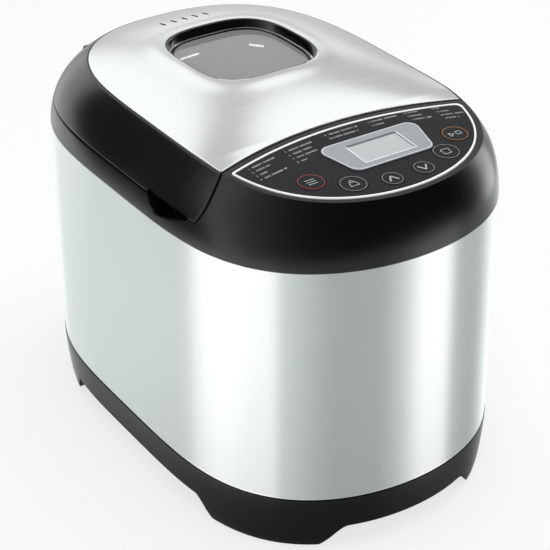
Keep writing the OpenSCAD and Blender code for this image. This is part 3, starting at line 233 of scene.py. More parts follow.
LAMINATION = brushed("varnished_laminations", "#6a6c6e", "#85878a", (20, 20, 1400), 0.4)
COPPER = brushed("enamelled_copper_wire", "#8a4a22", "#b0632f", (30, 30, 900), 0.35)
PALE_PLASTIC = moulded("pale_polypropylene", "#cfcfc9", "#d9d9d4", 0.45, grain=0.1)
BOARD_GREEN = moulded("solder_mask_green", "#1f5a33", "#27683c", 0.4, grain=0.15)
NONSTICK = moulded("fluoropolymer_coating", "#3c3d40", "#48494c", 0.42, grain=0.35, grain_mm=1.0,
                   metallic=0.25)
SEAL_RUBBER = moulded("red_silicone_seal", "#7c1c18", "#8a2620", 0.55, grain=0.15)


# ---------------------------------------------------------------- plan outline and shoulder surface
def spow(v, p):
    return np.sign(v) * np.abs(v) ** p


def outer_pt(t):
    return np.stack([HALF_W * np.cos(t), HALF_L * spow(np.sin(t), 2 / SIDE_POWER)], -1)


def top_pt(t):
    c, s = np.cos(t), np.sin(t)
    front = np.stack([TOP_A * c, TOP_MID_Y + TOP_FRONT * spow(s, 2 / SIDE_POWER)], -1)
    rear = np.stack([TOP_A * spow(c, 2 / 2.4), TOP_MID_Y + TOP_REAR * spow(s, 2 / 3.6)], -1)
    return np.where((s < 0)[..., None], front, rear)


def curl(u):
    return ((u * SIDE_H + CURL_START) / (SIDE_H + CURL_START)) ** CURL_POWER


def surf_xy(t, u):
    low = outer_pt(t)
    return low + curl(u) * (top_pt(t) - low)


def top_z(y):
    return SEAM_Z - PANEL_SLOPE * np.maximum(0, FRONT_APEX - y)


def surf(t, u):
    """Points of the body's outer surface at angles t and height share u, 0 at the band, 1 at the top."""
    plan = surf_xy(t, u)
    return np.column_stack([plan, BAND_Z + u * (top_z(top_pt(t)[:, 1]) - BAND_Z)])


def front_y(x, u):
    """The line where the lid meets the front housing."""
    flare = CORNER_FLARE * ((1 - u) / (1 - BAND_H / SIDE_H)) ** 2
    return FRONT_APEX - FRONT_SAG * (x / TOP_A) ** 2 + flare * (x / HALF_W) ** 2


def dense_angles():
    """Angles close enough together on every side of the outline, over one and a half turns."""
    w = np.linspace(-1, 1, 1201)
    side = np.arcsin(spow(w, SIDE_POWER / 2))
    turn = np.concatenate([np.linspace(0, 2 * np.pi, 1801), side % (2 * np.pi), np.pi - side])
    turn = np.unique(np.round(turn % (2 * np.pi), 9))
    return np.concatenate([turn - 2 * np.pi, turn, turn + 2 * np.pi])


DENSE = dense_angles()


def even_angles(a, b, n, u=0.0):
    """n angles from a to b that stand evenly along the outline."""
    t = np.concatenate([[a], DENSE[(DENSE > a + 1e-6) & (DENSE < b - 1e-6)], [b]])
    step = np.linalg.norm(np.diff(surf_xy(t, u), axis=0), axis=1)
    way = np.concatenate([[0], np.cumsum(step)])
    return np.interp(np.linspace(0, way[-1], n), way, t)


def cross_angle(u, g):
    """Angle below the side's middle at which the outline meets the lid's front line moved by g."""
    low, high = 0.0, math.radians(60)
    for _ in range(30):
        mid = (low + high) / 2
        p = surf_xy(np.array([-mid]), u)[0]
        low, high = (mid, high) if p[1] > front_y(p[0], u) + g else (low, mid)
    return low


def inward(points):
    """Inward normals in plan along an open line that runs counter-clockwise."""
    d = np.gradient(points[:, :2], axis=0)
    d /= np.linalg.norm(d, axis=1)[:, None] + 1e-12
    return np.column_stack([-d[:, 1], d[:, 0]])


def moved(points, d):
    out = points.copy()
    out[:, :2] += d * inward(points)
    return out


def way_along(points):
    return np.concatenate([[0], np.cumsum(np.linalg.norm(np.diff(points[:, :2], axis=0), axis=1))])


def meet(a, b):
    """Where two lines cross in plan: their distances along each, or None."""
    p, r = a[:-1, None, :2], (a[1:] - a[:-1])[:, None, :2]
    q, s = b[None, :-1, :2], (b[1:] - b[:-1])[None, :, :2]
    cross = r[..., 0] * s[..., 1] - r[..., 1] * s[..., 0]
    cross = np.where(np.abs(cross) < 1e-12, 1e-12, cross)
    t = ((q - p)[..., 0] * s[..., 1] - (q - p)[..., 1] * s[..., 0]) / cross
    w = ((q - p)[..., 0] * r[..., 1] - (q - p)[..., 1] * r[..., 0]) / cross
    hits = np.argwhere((t >= 0) & (t <= 1) & (w >= 0) & (w <= 1))
    if not len(hits):
        return None
    i, j = hits[0]
    la, lb = way_along(a), way_along(b)
    return la[i] + t[i, j] * (la[i + 1] - la[i]), lb[j] + w[i, j] * (lb[j + 1] - lb[j])


def at_way(points, places):
    way = way_along(points)
    return np.column_stack([np.interp(places, way, points[:, k]) for k in range(3)])


def bend(a, corner, b, k):
    s = np.linspace(0, 1, k + 2)[1:-1, None]
    return (1 - s) ** 2 * a + 2 * s * (1 - s) * corner + s ** 2 * b


def part_ring(side, u, d=0.0, dz=0.0, r=1.0, n_skin=420, n_line=150, k=5, tip=None):
    """Closed ring of the lid ("lid") or the front housing ("house") at height share u, moved inwards by d
    and up by dz: the outer skin, a rounded corner, the front line and the other corner. The corners keep r
    from the crossing of skin and line, and the left one of the housing keeps tip where it is given."""
    g = FRONT_GAP / 2 if side == "lid" else -FRONT_GAP / 2
    c = cross_angle(u, g)
    a, b = (-c, math.pi + c) if side == "lid" else (math.pi + c, 2 * math.pi - c)
    skin = surf(even_angles(a, b, 1000, u), u)
    x = np.linspace(skin[-1, 0], skin[0, 0], 400)
    y = front_y(x, u) + g
    line = np.column_stack([x, y, BAND_Z + u * (top_z(y) - BAND_Z)])
    line[0], line[-1] = skin[-1], skin[0]
    if d:
        skin, line = moved(skin, d), moved(line, d)
        first, last = meet(skin[500:], line[:200]), meet(skin[:500], line[200:])
        start_s = last[0]
        end_s = first[0] + way_along(skin)[500]
        start_l, end_l = first[1], last[1] + way_along(line)[200]
    else:
        start_s, end_s = 0.0, way_along(skin)[-1]
        start_l, end_l = 0.0, way_along(line)[-1]
    tip = r if tip is None else tip
    arc = at_way(skin, np.linspace(start_s + tip, end_s - r, n_skin))
    front = at_way(line, np.linspace(start_l + r, end_l - tip, n_line))
    one, two = at_way(skin, [end_s])[0], at_way(skin, [start_s])[0]
    ring = np.concatenate([arc, bend(arc[-1], one, front[0], k), front, bend(front[-1], two, arc[0], k)])
    ring[:, 2] += dz
    return ring


def deck_ring(d, dz, **shape):
    """Ring of the front housing's tilted top, moved inwards by d and up by dz."""
    ring = part_ring("house", 1.0, d=d, **shape)
    ring[:, 2] = top_z(ring[:, 1]) + dz
    return ring


def inset_ring(ring, d):
    a, b = np.roll(ring, 1, 0), np.roll(ring, -1, 0)
    q = (b - a)[:, :2]
    q /= np.linalg.norm(q, axis=1)[:, None] + 1e-12
    out = ring.copy()
    out[:, :2] += d * np.column_stack([-q[:, 1], q[:, 0]])
    return out


# ---------------------------------------------------------------- meshes
def mesh_piece(name, points, faces, material, body, slot, replaced=(), angle=35, merge=1e-6):
    """A finished piece from millimetre points: merged, faced outwards, smooth but for its sharp edges."""
    mesh = bpy.data.meshes.new(name)
    bm = bmesh.new()
    verts = [bm.verts.new(Vector(p) * MM) for p in points]
    for f in faces:
        try:
            bm.faces.new([verts[i] for i in f])
        except ValueError:
            pass
    bmesh.ops.remove_doubles(bm, verts=bm.verts, dist=merge)
    bmesh.ops.dissolve_degenerate(bm, edges=bm.edges, dist=1e-7)
    bmesh.ops.recalc_face_normals(bm, faces=bm.faces)
    bm.to_mesh(mesh)
    bm.free()
    return settle(name, mesh, material, body, replaced, angle)


def settle(name, mesh, material, body, replaced=(), angle=35):
    mesh.shade_smooth()
    mesh.set_sharp_from_angle(angle=math.radians(angle))
    piece = bpy.data.objects.new(name, mesh)
    bpy.context.scene.collection.objects.link(piece)
    mesh.materials.clear()
    mesh.materials.append(material)
    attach(piece, body)
    if replaced:
        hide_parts(*replaced)
    return piece


def strip_faces(rows, columns, closed_rows=False, closed_columns=True):
    faces = []
    for k in range(rows if closed_rows else rows - 1):
        for i in range(columns if closed_columns else columns - 1):
            l, j = (k + 1) % rows, (i + 1) % columns
            faces.append((k * columns + i, k * columns + j, l * columns + j, l * columns + i))
    return faces


def solid_rings(rings, closed=True):
    """Points and faces of a solid whose rings come back to the first (closed) or end in two caps."""
    n = len(rings[0])
    faces = strip_faces(len(rings), n, closed_rows=closed)
    if not closed:
        faces.append(tuple(range(n))[::-1])
        faces.append(tuple((len(rings) - 1) * n + i for i in range(n)))
    return np.concatenate(rings), faces


def scratch(name, points, faces, merge=True):
    """A helper mesh for cutting; it is deleted after use."""
    mesh = bpy.data.meshes.new(name)
    bm = bmesh.new()
    verts = [bm.verts.new(Vector(p) * MM) for p in points]
    for f in faces:
        try:
            bm.faces.new([verts[i] for i in f])
        except ValueError:
            pass
    if merge:
        bmesh.ops.remove_doubles(bm, verts=bm.verts, dist=1e-6)
        bmesh.ops.recalc_face_normals(bm, faces=bm.faces)
    bm.to_mesh(mesh)
    bm.free()
    made = bpy.data.objects.new(name, mesh)
    bpy.context.scene.collection.objects.link(made)
    return made


def drop(*objects):
    for made in objects:
        mesh = made.data
        bpy.data.objects.remove(made)
        bpy.data.meshes.remove(mesh)


def baked(piece):
    """The piece's mesh with its modifiers applied."""
    graph = bpy.context.evaluated_depsgraph_get()
    graph.update()
    return bpy.data.meshes.new_from_object(piece.evaluated_get(graph))


def cut(piece, cutters, operation="DIFFERENCE"):
    for tool in cutters:
        change = piece.modifiers.new("cut", "BOOLEAN")
        change.object, change.operation, change.solver = tool, operation, "EXACT"
    mesh = baked(piece)
    piece.modifiers.clear()
    old = piece.data
    piece.data = mesh
    bpy.data.meshes.remove(old)
    drop(*cutters)
    return piece


def bevel(piece, width, segments=2, angle=40):
    change = piece.modifiers.new("edge", "BEVEL")
    change.width, change.segments = width * MM, segments
    change.limit_method, change.angle_limit = "ANGLE", math.radians(angle)
    change.harden_normals = False
    change.use_clamp_overlap = True
    mesh = baked(piece)
    piece.modifiers.clear()
    old = piece.data
    piece.data = mesh
    bpy.data.meshes.remove(old)
    return piece


def repeated(name, places, shape, material, smallest=(1, 1, 1), largest=(1, 1, 1), seed=5):
    """Copies of one shape on millimetre points, each scaled between two limits, as one plain mesh."""
    group = bpy.data.node_groups.new(name, "GeometryNodeTree")
    inputs = {}
    for label, kind in (("Points", "NodeSocketGeometry"), ("Shape", "NodeSocketObject"),
                        ("Smallest", "NodeSocketVector"),
                        ("Largest", "NodeSocketVector"), ("Seed", "NodeSocketInt"),
                        ("Finish", "NodeSocketMaterial")):
        inputs[label] = group.interface.new_socket(label, in_out="INPUT", socket_type=kind).identifier
    group.interface.new_socket("Geometry", in_out="OUTPUT", socket_type="NodeSocketGeometry")
    given = node(group, "NodeGroupInput").outputs
    shape_info = node(group, "GeometryNodeObjectInfo", {"Object": given["Shape"]})
    sizes = node(group, "FunctionNodeRandomValue",
                 {0: given["Smallest"], 1: given["Largest"], "Seed": given["Seed"]},
                 {"data_type": "FLOAT_VECTOR"})
    copies = node(group, "GeometryNodeInstanceOnPoints", {
        "Points": given["Points"], "Instance": shape_info.outputs["Geometry"], "Scale": sizes.outputs[0]})
    real = node(group, "GeometryNodeRealizeInstances", {"Geometry": copies.outputs[0]})
    painted = node(group, "GeometryNodeSetMaterial",
                   {"Geometry": real.outputs[0], "Material": given["Finish"]})
    node(group, "NodeGroupOutput", {0: painted.outputs[0]})
    points = scratch(name, places, [], merge=False)
    change = points.modifiers.new(name, "NODES")
    change.node_group = group
    for label, value in (("Shape", shape), ("Smallest", smallest), ("Largest", largest), ("Seed", seed),
                         ("Finish", material)):
        change[inputs[label]] = value
    mesh = baked(points)
    points.modifiers.clear()
    old, points.data = points.data, mesh
    bpy.data.meshes.remove(old)
    bpy.data.node_groups.remove(group)
    return points


def finish_piece(made, name, material, body, replaced=(), angle=35):
    """Turns a helper object into a piece."""
    mesh = made.data.copy()
    drop(made)
    mesh.name = name
    return settle(name, mesh, material, body, replaced, angle)


def prism(outline, low, high, name="prism"):
    """Upright prism over a plan outline."""
    outline = np.asarray(outline, float)
    rings = [np.column_stack([outline, np.full(len(outline), z)]) for z in (low, high)]
    return scratch(name, *solid_rings(rings, closed=False))


def box_tool(low, high):
    (x0, y0, z0), (x1, y1, z1) = low, high
    return prism([(x0, y0), (x1, y0), (x1, y1), (x0, y1)], z0, z1)


def rounded_rect(w, l, r, n=8, cx=0.0, cy=0.0):
    points = []
    for sx, sy, first in ((1, 1, 0), (-1, 1, 90), (-1, -1, 180), (1, -1, 270)):
        for a in np.radians(np.linspace(first, first + 90, n + 1)):
            points.append((cx + sx * (w / 2 - r) + r * math.cos(a), cy + sy * (l / 2 - r) + r * math.sin(a)))
    return np.array(points)


def circle(x, y, r, n=64):
    a = np.linspace(0, 2 * np.pi, n, endpoint=False)
    return np.column_stack([x + r * np.cos(a), y + r * np.sin(a)])


# ---------------------------------------------------------------- base
ARCH_H, FOOT_Y, FOOT_X, DECK_Z, FLOOR_GAP = 17.0, 97.0, 66.0, 20.0, 1.2
BASE_DRAFT, BASE_EDGE = 4.5, 0.5
PAD_X, PAD_Y, PAD_R, PAD_H = 82.0, 118.0, 10.0, 4.0
PLATE = [(170.0, 156.0), (86.0, 250.0)]


def arch(foot, top, along):
    """Tool that clears the space under an arch, across the body (along "x") or lengthwise ("y")."""
    s = np.linspace(0, 1, 25)
    side = np.column_stack([foot + (top - foot) * s, ARCH_H * (1 - np.cos(np.pi * s)) / 2])
    outline = np.concatenate([[(-foot, -5), (foot, -5)], side, side[::-1] * (-1, 1)])
    far = 2 * HALF_L
    if along == "x":
        ends = [np.column_stack([np.full(len(outline), x), outline]) for x in (-far, far)]
    else:
        ends = [np.column_stack([outline[:, 0], np.full(len(outline), y), outline[:, 1]]) for y in (far,
                                                                                                    -far)]
    return scratch("arch", *solid_rings(ends, closed=False))


def base():
    n = 560
    plan = outer_pt(even_angles(0, 2 * np.pi, n + 1)[:-1])

    def ring(d, z):
        return inset_ring(np.column_stack([plan, np.full(n, z)]), d)

    low = BASE_EDGE + BASE_DRAFT
    section = [(low + 0.9, FLOOR_GAP), (low + 0.35, FLOOR_GAP + 0.1), (low, FLOOR_GAP + 0.8)]
    section += [(BASE_EDGE + BASE_DRAFT * k, z) for k,
                z in ((0.7, 8), (0.5, 14), (0.35, 20), (0.15, 29), (0.0, 39))]
    section += [(BASE_EDGE, 40.3), (BASE_EDGE + 0.2, 40.8), (BASE_EDGE + 0.7, 41), (2.0, 41), (2.1, 44),
                (4.0, 44)]
    rings = [ring(d, z) for d, z in section] + [ring(4.1, DECK_Z)]
    made = scratch("base", *solid_rings(rings, closed=False))
    tools = [arch(FOOT_Y, FOOT_Y - 17, "x"), arch(FOOT_X, FOOT_X - 21, "y")]
    for w, l in PLATE:
        tools.append(prism(rounded_rect(w - 22, l - 22, 10), -1, DECK_Z + 1))
        tools.append(prism(rounded_rect(w + 0.6, l + 0.6, 10), -1, ARCH_H + 1.2))
    tools += [prism(circle(sx * PAD_X, sy * PAD_Y, PAD_R + 0.3), -1, PAD_H) for sx in (1, -1) for sy in (1,
                                                                                                         -1)]
    for i in range(2, 6):
        for side in (1, -1):
            x = side * i * 7
            tools.append(box_tool((x - 1.25, HALF_L - 16, DECK_Z + 4), (x + 1.25, HALF_L + 14, DECK_Z + 16)))
    cut(made, tools)
    bevel(made, 0.5, 2, 35)
    return finish_piece(made, "base_tray", BASE_ABS, "housing", ("base_moulding",),
                        angle=40)


# ---------------------------------------------------------------- steel wrap
def steel_wrap():
    n = 640
    t = even_angles(math.pi / 2 + 0.0026, 5 * math.pi / 2 - 0.0026, n)
    plan = outer_pt(t)
    n_in = inward(np.column_stack([plan, np.zeros(n)]))
    section = ([(PROUD + 0.8, BASE_H + 0.2), (PROUD + 0.35, BASE_H), (PROUD - 0.05, BASE_H + 0.25)]
               + [(PROUD, z) for z in (BASE_H + 0.8, BASE_H + 1.1, *np.linspace(BASE_H + 4, BAND_Z - 4, 12),
                                       BAND_Z - 0.6, BAND_Z - 0.3)]
               + [(PROUD + 0.3, BAND_Z), (PROUD + 0.8, BAND_Z - 0.2)])
    rings = [np.column_stack([plan + d * n_in, np.full(n, z)]) for d, z in section]
    m = len(rings)
    faces = strip_faces(m, n, closed_rows=True, closed_columns=False)
    faces.append(tuple(k * n for k in range(m)))
    faces.append(tuple(k * n + n - 1 for k in range(m))[::-1])
    return mesh_piece("steel_wrap_sheet", np.concatenate(rings), faces, WRAP_STEEL, "housing", "wrap_steel",
                      ("steel_wrap",), angle=50)


# ---------------------------------------------------------------- upper frame with the front housing
def notch_z(y):
    """Height of the finger notch's floor: steep at the rear, running out towards the front."""
    steep = PART_Z - 9 * np.sin(np.radians(90) * np.clip((-37 - y) / 13, 0, 1))
    s = np.clip((-50 - y) / 35, 0, 1)
    slow = PART_Z - 9 * (1 - s ** 1.6) + 1.5 * s
    return np.where((y > -37) | (y < -85), PART_Z, np.minimum(np.where(y > -50, steep, slow), PART_Z))


def upper_frame():
    u_part = BAND_H / SIDE_H
    c = cross_angle(u_part, -FRONT_GAP / 2)
    low_z = BAND_Z
    n = 900
    t = even_angles(-c, math.pi + c, n)
    edge = surf(t, u_part)
    dip = PART_Z - notch_z(edge[:, 1])
    rows = []

    def row(u, d, z=None):
        points = surf(t, u) if np.isscalar(u) else np.array([surf(t[i:i + 1], u[i])[0] for i in range(n)])
        out = moved(points, d)
        if z is not None:
            out[:, 2] = z
        rows.append(out)

    row(0.0, 13.9, low_z - 0.1)
    row(0.0, 0.5, low_z - 0.1)
    row(0.0, 0.12, low_z + 0.05)
    for share in np.linspace(0.03, 1, 12):
        u = (BAND_H - dip - 0.7) * share / SIDE_H
        points = np.array([surf(t[i:i + 1], u[i])[0] for i in range(n)])
        rows.append(points)
    lip = [(0.06, 0.35), (0.25, 0.1), (0.7, 0.0)]
    for d, down in lip:
        row((BAND_H - dip - down) / SIDE_H, d)
    top_level = PART_Z - dip
    row(u_part, 11.2, top_level)
    row(u_part, 11.9, top_level + np.minimum(dip, 0.6))
    row(u_part, 12.0, np.maximum(top_level, PART_Z - 0.4))
    row(u_part, 12.2, PART_Z)
    row(u_part, 13.5, PART_Z)
    row(u_part, 13.9, PART_Z - 0.4)
    row(u_part, 14.0, PART_Z - 3)
    row(0.1, 13.95, low_z + 3)
    points = [np.concatenate(rows)]
    faces = strip_faces(len(rows), n, closed_rows=True, closed_columns=False)
    count = len(points[0])

    # front housing: skin, front wall and rim as one run of rings
    tall = [part_ring("house", u) for u in np.concatenate([np.linspace(u_part, 0.99, 30)])]
    first = tall[0]
    skin_n = 420
    lower = []
    for share in np.linspace(0, 1, 12)[:-1]:
        ring = first.copy()
        ring[:, 2] = low_z - 0.1 + (first[:, 2] - low_z + 0.1) * share
        angles = even_angles(math.pi + c, 2 * math.pi - c, 1000, u_part)
        u = max(0.0, u_part * share)
        along = surf(angles, u)
        total = way_along(along)[-1]
        ring[:skin_n, :2] = at_way(along, np.linspace(0.0, total, skin_n))[:, :2]
        lower.append(ring)
    rim = [deck_ring(d, dz) for d, dz in
           ((0.12, -0.05), (0.45, 0.0), (1.2, 0.0), (2.4, 0.0), (3.5, 0.0), (3.85, -0.05), (4.0, -0.3),
            (4.0, -1.0))]
    rings = lower + tall + rim
    pts, more = solid_rings(rings, closed=False)
    faces += [tuple(i + count for i in f) for f in more]
    points.append(pts)
    piece = scratch("upper_frame_raw", np.concatenate(points), faces)
    return piece


def on_panel(x, y, z=0.0):
    """A point over the tilted panel: z is above its surface."""
    return (x, y, top_z(y) + z)


def panel_face(outline, low, high, name):
    """Prism over an outline that follows the tilted panel."""
    rings = [np.array([on_panel(x, y, z) for x, y in outline]) for z in (low, high)]
    return scratch(name, *solid_rings(rings, closed=False))


frame_raw = upper_frame()
tools = [panel_face(circle(x, y, r + 0.3), -9, 3, "hole") for x, y, r in KEYS.values()]
tools.append(panel_face(rounded_rect(LCD_W + 2, LCD_H + 2, 0.8, cx=LCD_X, cy=LCD_Y), -9, 3, "hole"))
cut(frame_raw, tools)
finish_piece(frame_raw, "upper_frame_moulding", BLACK_ABS, "housing", ("upper_frame",),
             angle=32)
steel_wrap()
base()


# ---------------------------------------------------------------- control panel
RIM_W, TRIM_W = 4.25, 1.3
SWITCH_TOP = -9.7
PLATE_TOP, PLATE_LOW, PLATE_H, PLATE_R = 73.0, 63.0, 34.0, 7.0
FILM_TOP = 0.2


def panel_ring(d, dz):
    return deck_ring(d, dz, r=4.5, tip=1.4, n_skin=320, n_line=160, k=10)


def lathe(x, y, profile, n=72):
    """Turned solid over a point of the panel; the profile is (radius, height) from the bottom to the top."""
    turns = np.linspace(0, 2 * np.pi, n, endpoint=False)
    rings = [np.array([on_panel(x + r * math.cos(a), y + r * math.sin(a), z) for a in turns]) for r,
             z in profile]
    return solid_rings(rings, closed=False)


def stroke(points, width, low, high, loop=False):
    """Line of even width along points on the panel, as a thin closed solid: print, edge lines, and the painted
    highlight and painted shade at the LCD.
    """
    points = np.asarray(points, float)
    if loop:
        way = np.roll(points, -1, 0) - np.roll(points, 1, 0)
    else:
        way = np.gradient(points, axis=0)
    way /= np.linalg.norm(way, axis=1)[:, None]
    side = np.column_stack([-way[:, 1], way[:, 0]]) * width / 2
    rings = []
    for edge, z in ((points + side, low), (points + side, high), (points - side, high), (points - side, low)):
        rings.append(np.array([on_panel(x, y, z) for x, y in edge]))
    n = len(points)
    faces = strip_faces(4, n, closed_rows=True, closed_columns=loop)
    if not loop:
        faces += [(0, n, 2 * n, 3 * n), (n - 1, 4 * n - 1, 3 * n - 1, 2 * n - 1)]
    return np.concatenate(rings), faces


def together(parts):
    """One set of points and faces from several."""
    points, faces, count = [], [], 0
    for p, f in parts:
        points.append(p)
        faces += [tuple(i + count for i in face) for face in f]
        count += len(p)
    return np.concatenate(points), faces


def dense(corners, step=0.5, loop=False):
    """Points along straight runs between corners, close enough for even strokes."""
    corners = list(corners) + ([corners[0]] if loop else [])
    out = []
    for (x0, y0), (x1, y1) in zip(corners, corners[1:]):
        n = max(2, int(math.hypot(x1 - x0, y1 - y0) / step))
        out += [(x0 + (x1 - x0) * i / n, y0 + (y1 - y0) * i / n) for i in range(n)]
    return out if loop else out + [corners[-1]]


def icon(name, x, y):
    """Generic sign of a key: list of (points, width, closed)."""
    if name == "up_key":
        return [(dense([(x - 3.2, y - 2.5), (x, y + 2.6), (x + 3.2, y - 2.5)], 0.3), 1.0, False)]
    if name == "down_key":
        return [(dense([(x - 3.2, y + 2.5), (x, y - 2.6), (x + 3.2, y + 2.5)], 0.3), 1.0, False)]
    if name == "menu_key":
        return [(dense([(x - 3.4, y + h), (x + 3.4, y + h)]), 0.55, False) for h in (2.3, 0.0, -2.3)]
    if name == "weight_key":
        pan = [(x - 3.0, y - 2.4), (x + 3.0, y - 2.4), (x + 2.1, y + 1.5), (x - 2.1, y + 1.5)]
        return [(dense(pan, 0.4, True), 0.5, True), (circle(x, y + 2.6, 1.1, 24), 0.5, True)]
    if name == "crust_key":
        slice_points = [(x - 2.5, y - 2.6), (x + 2.5, y - 2.6), (x + 2.5, y + 0.6), (x + 3.1, y + 1.7),
                        (x + 2.2, y + 2.8),
                        (x - 2.2, y + 2.8), (x - 3.1, y + 1.7), (x - 2.5, y + 0.6)]
        return [(dense(slice_points, 0.4, True), 0.5, True)]
    play = [(x - 4.2, y - 2.0), (x - 0.9, y), (x - 4.2, y + 2.0)]
    stop = [(x + 1.0, y - 1.7), (x + 4.2, y - 1.7), (x + 4.2, y + 1.7), (x + 1.0, y + 1.7)]
    return [(dense(play, 0.4, True), 0.5, True), (dense(stop, 0.4, True), 0.5, True)]


def key_pieces():
    inks = {"menu_key": RED_INK, "start_stop_key": ORANGE_INK}
    for name, (x, y, r) in KEYS.items():
        profile = [(2.5, SWITCH_TOP + 0.7), (2.5, -4.4), (r + 1, -4.4), (r + 1, -3.5), (r, -3.5), (r, 0.15),
                   (r - 0.08, 0.36),
                   (r - 0.28, 0.47), (r - 0.6, 0.5), (r - 1.6, 0.49), (r * 0.5, 0.46), (0.4, 0.45)]
        points, faces = lathe(x, y, profile)
        mesh_piece(name + "_cap", points, faces, KEY_FILM, name, "key_plastic", (name,), angle=30)
        top = 0.52
        band = stroke(circle(x, y, r - 0.8, 96), 0.4, 0.42, top, True)
        mesh_piece(name + "_ring", *band, inks.get(name, GREY_INK), name, "key_plastic")
        signs = together([stroke(line, width, 0.42, top, loop) for line, width, loop in icon(name, x, y)])
        mesh_piece(name + "_sign", *signs, WHITE_INK, name, "key_plastic")


def panel_pieces():
    edge = RIM_W
    section = [(0, -1.0), (0, 0.4), (0.12, 0.6), (0.35, 0.7), (TRIM_W - 0.35, 0.7), (TRIM_W - 0.12, 0.6),
               (TRIM_W, 0.4), (TRIM_W, -1.0)]
    mesh_piece("panel_trim_ring", *solid_rings([panel_ring(edge + d, z) for d, z in section]), TRIM_PAINT,
               "housing",
               "trim_silver", ("panel_trim",), angle=50)
    film = scratch("film", *solid_rings([panel_ring(edge + TRIM_W + d, z) for d, z in
                                         ((0.15, -1.0), (0.15, 0.08), (0.25, FILM_TOP))], closed=False))
    tools = [panel_face(circle(x, y, r + 0.3), -3, 3, "hole") for x, y, r in KEYS.values()]
    tools.append(panel_face(rounded_rect(LCD_W + 2, LCD_H + 2, 0.8, cx=LCD_X, cy=LCD_Y), -3, 3, "hole"))
    cut(film, tools)
    finish_piece(film, "panel_film", PANEL_FILM, "housing", ("control_panel",), angle=40)

    outline = []
    low_a, top_a, h = PLATE_LOW / 2 - PLATE_R, PLATE_TOP / 2 - PLATE_R, PLATE_H / 2 - PLATE_R
    for cx, cy, first, last in ((top_a, h, -8, 90), (-top_a, h, 90, 188), (-low_a, -h, 188, 270),
                                (low_a, -h, 270, 352)):
        for a in np.radians(np.linspace(first, last, 14)):
            outline.append((LCD_X + cx + PLATE_R * math.cos(a), LCD_Y + cy + PLATE_R * math.sin(a)))
    plate = panel_face(outline, FILM_TOP, FILM_TOP + 0.8, "plate")
    cut(plate, [panel_face(rounded_rect(LCD_W, LCD_H, 0.6, cx=LCD_X, cy=LCD_Y), -2, 3, "hole")])
    bevel(plate, 0.25, 3, 50)
    finish_piece(plate, "display_plate", DISPLAY_PAINT, "housing", ("display_bezel",),
                 angle=40)
    inner = np.array(outline)
    middle = inner.mean(0)
    inner = middle + (inner - middle) * (1 - 1.5 / PLATE_TOP, 1 - 1.5 / PLATE_H)
    mesh_piece("display_plate_edge", *stroke(inner, 0.6, FILM_TOP + 0.78, FILM_TOP + 0.84, True),
               DISPLAY_RIM, "housing",
               "display_silver")

    glass_top = FILM_TOP + 0.02
    pane = panel_face(rounded_rect(LCD_W + 1.4, LCD_H + 1.4, 0.6, cx=LCD_X, cy=LCD_Y), glass_top - 1.4,
                      glass_top, "pane")
    finish_piece(pane, "lcd_pane", LCD_FILM, "housing", ("lcd_window",), angle=40)
    x0, x1, y0, y1 = LCD_X - LCD_W / 2, LCD_X + LCD_W / 2, LCD_Y - LCD_H / 2, LCD_Y + LCD_H / 2
    plate_top = FILM_TOP + 0.8
    # Painted highlight: light lines along the left, bottom and right edges of the LCD opening, where the plate's
    # rim catches light
    painted_highlight_lines = [stroke(dense([(x0 - 0.4, y1 - 0.6), (x0 - 0.4, y0 - 0.4), (x1 + 0.4, y0 - 0.4),
                            (x1 + 0.4, y1 - 0.6)]), 0.7,
                     plate_top - 0.1, plate_top + 0.04)]
    mesh_piece("lcd_bright_edge", *together(painted_highlight_lines), LCD_PAINTED_HIGHLIGHT, "housing", "lcd_glass")
    # Painted shade: a dark line along the top edge of the LCD pane, where the recess wall is in shade
    dark = [stroke(dense([(x0 + 0.3, y1 - 0.6), (x1 - 0.3, y1 - 0.6)]), 1.0, glass_top - 0.1,
                   glass_top + 0.12)]
    mesh_piece("lcd_dark_edge", *together(dark), LCD_PAINTED_SHADE, "housing", "lcd_glass")


def laid(made, x, y, angle, z):
    """Puts a flat helper, drawn round the origin in millimetres, on the panel."""
    c, s = math.cos(angle), math.sin(angle)
    for v in made.data.vertices:
        u, w, h = (k / MM for k in v.co)
        v.co = Vector(on_panel(x + c * u - s * w, y + s * u + c * w, z + h)) * MM
    return made


def number(text, size):
    """A plain number as a flat solid in millimetres."""
    curve = bpy.data.curves.new("number", "FONT")
    curve.body, curve.size, curve.extrude = text, size * MM, 0.02 * MM
    curve.resolution_u = 3
    made = bpy.data.objects.new("number", curve)
    bpy.context.scene.collection.objects.link(made)
    mesh = baked(made)
    bpy.data.objects.remove(made)
    bpy.data.curves.remove(curve)
    flat = bpy.data.objects.new("number", mesh)
    bpy.context.scene.collection.objects.link(flat)
    return flat


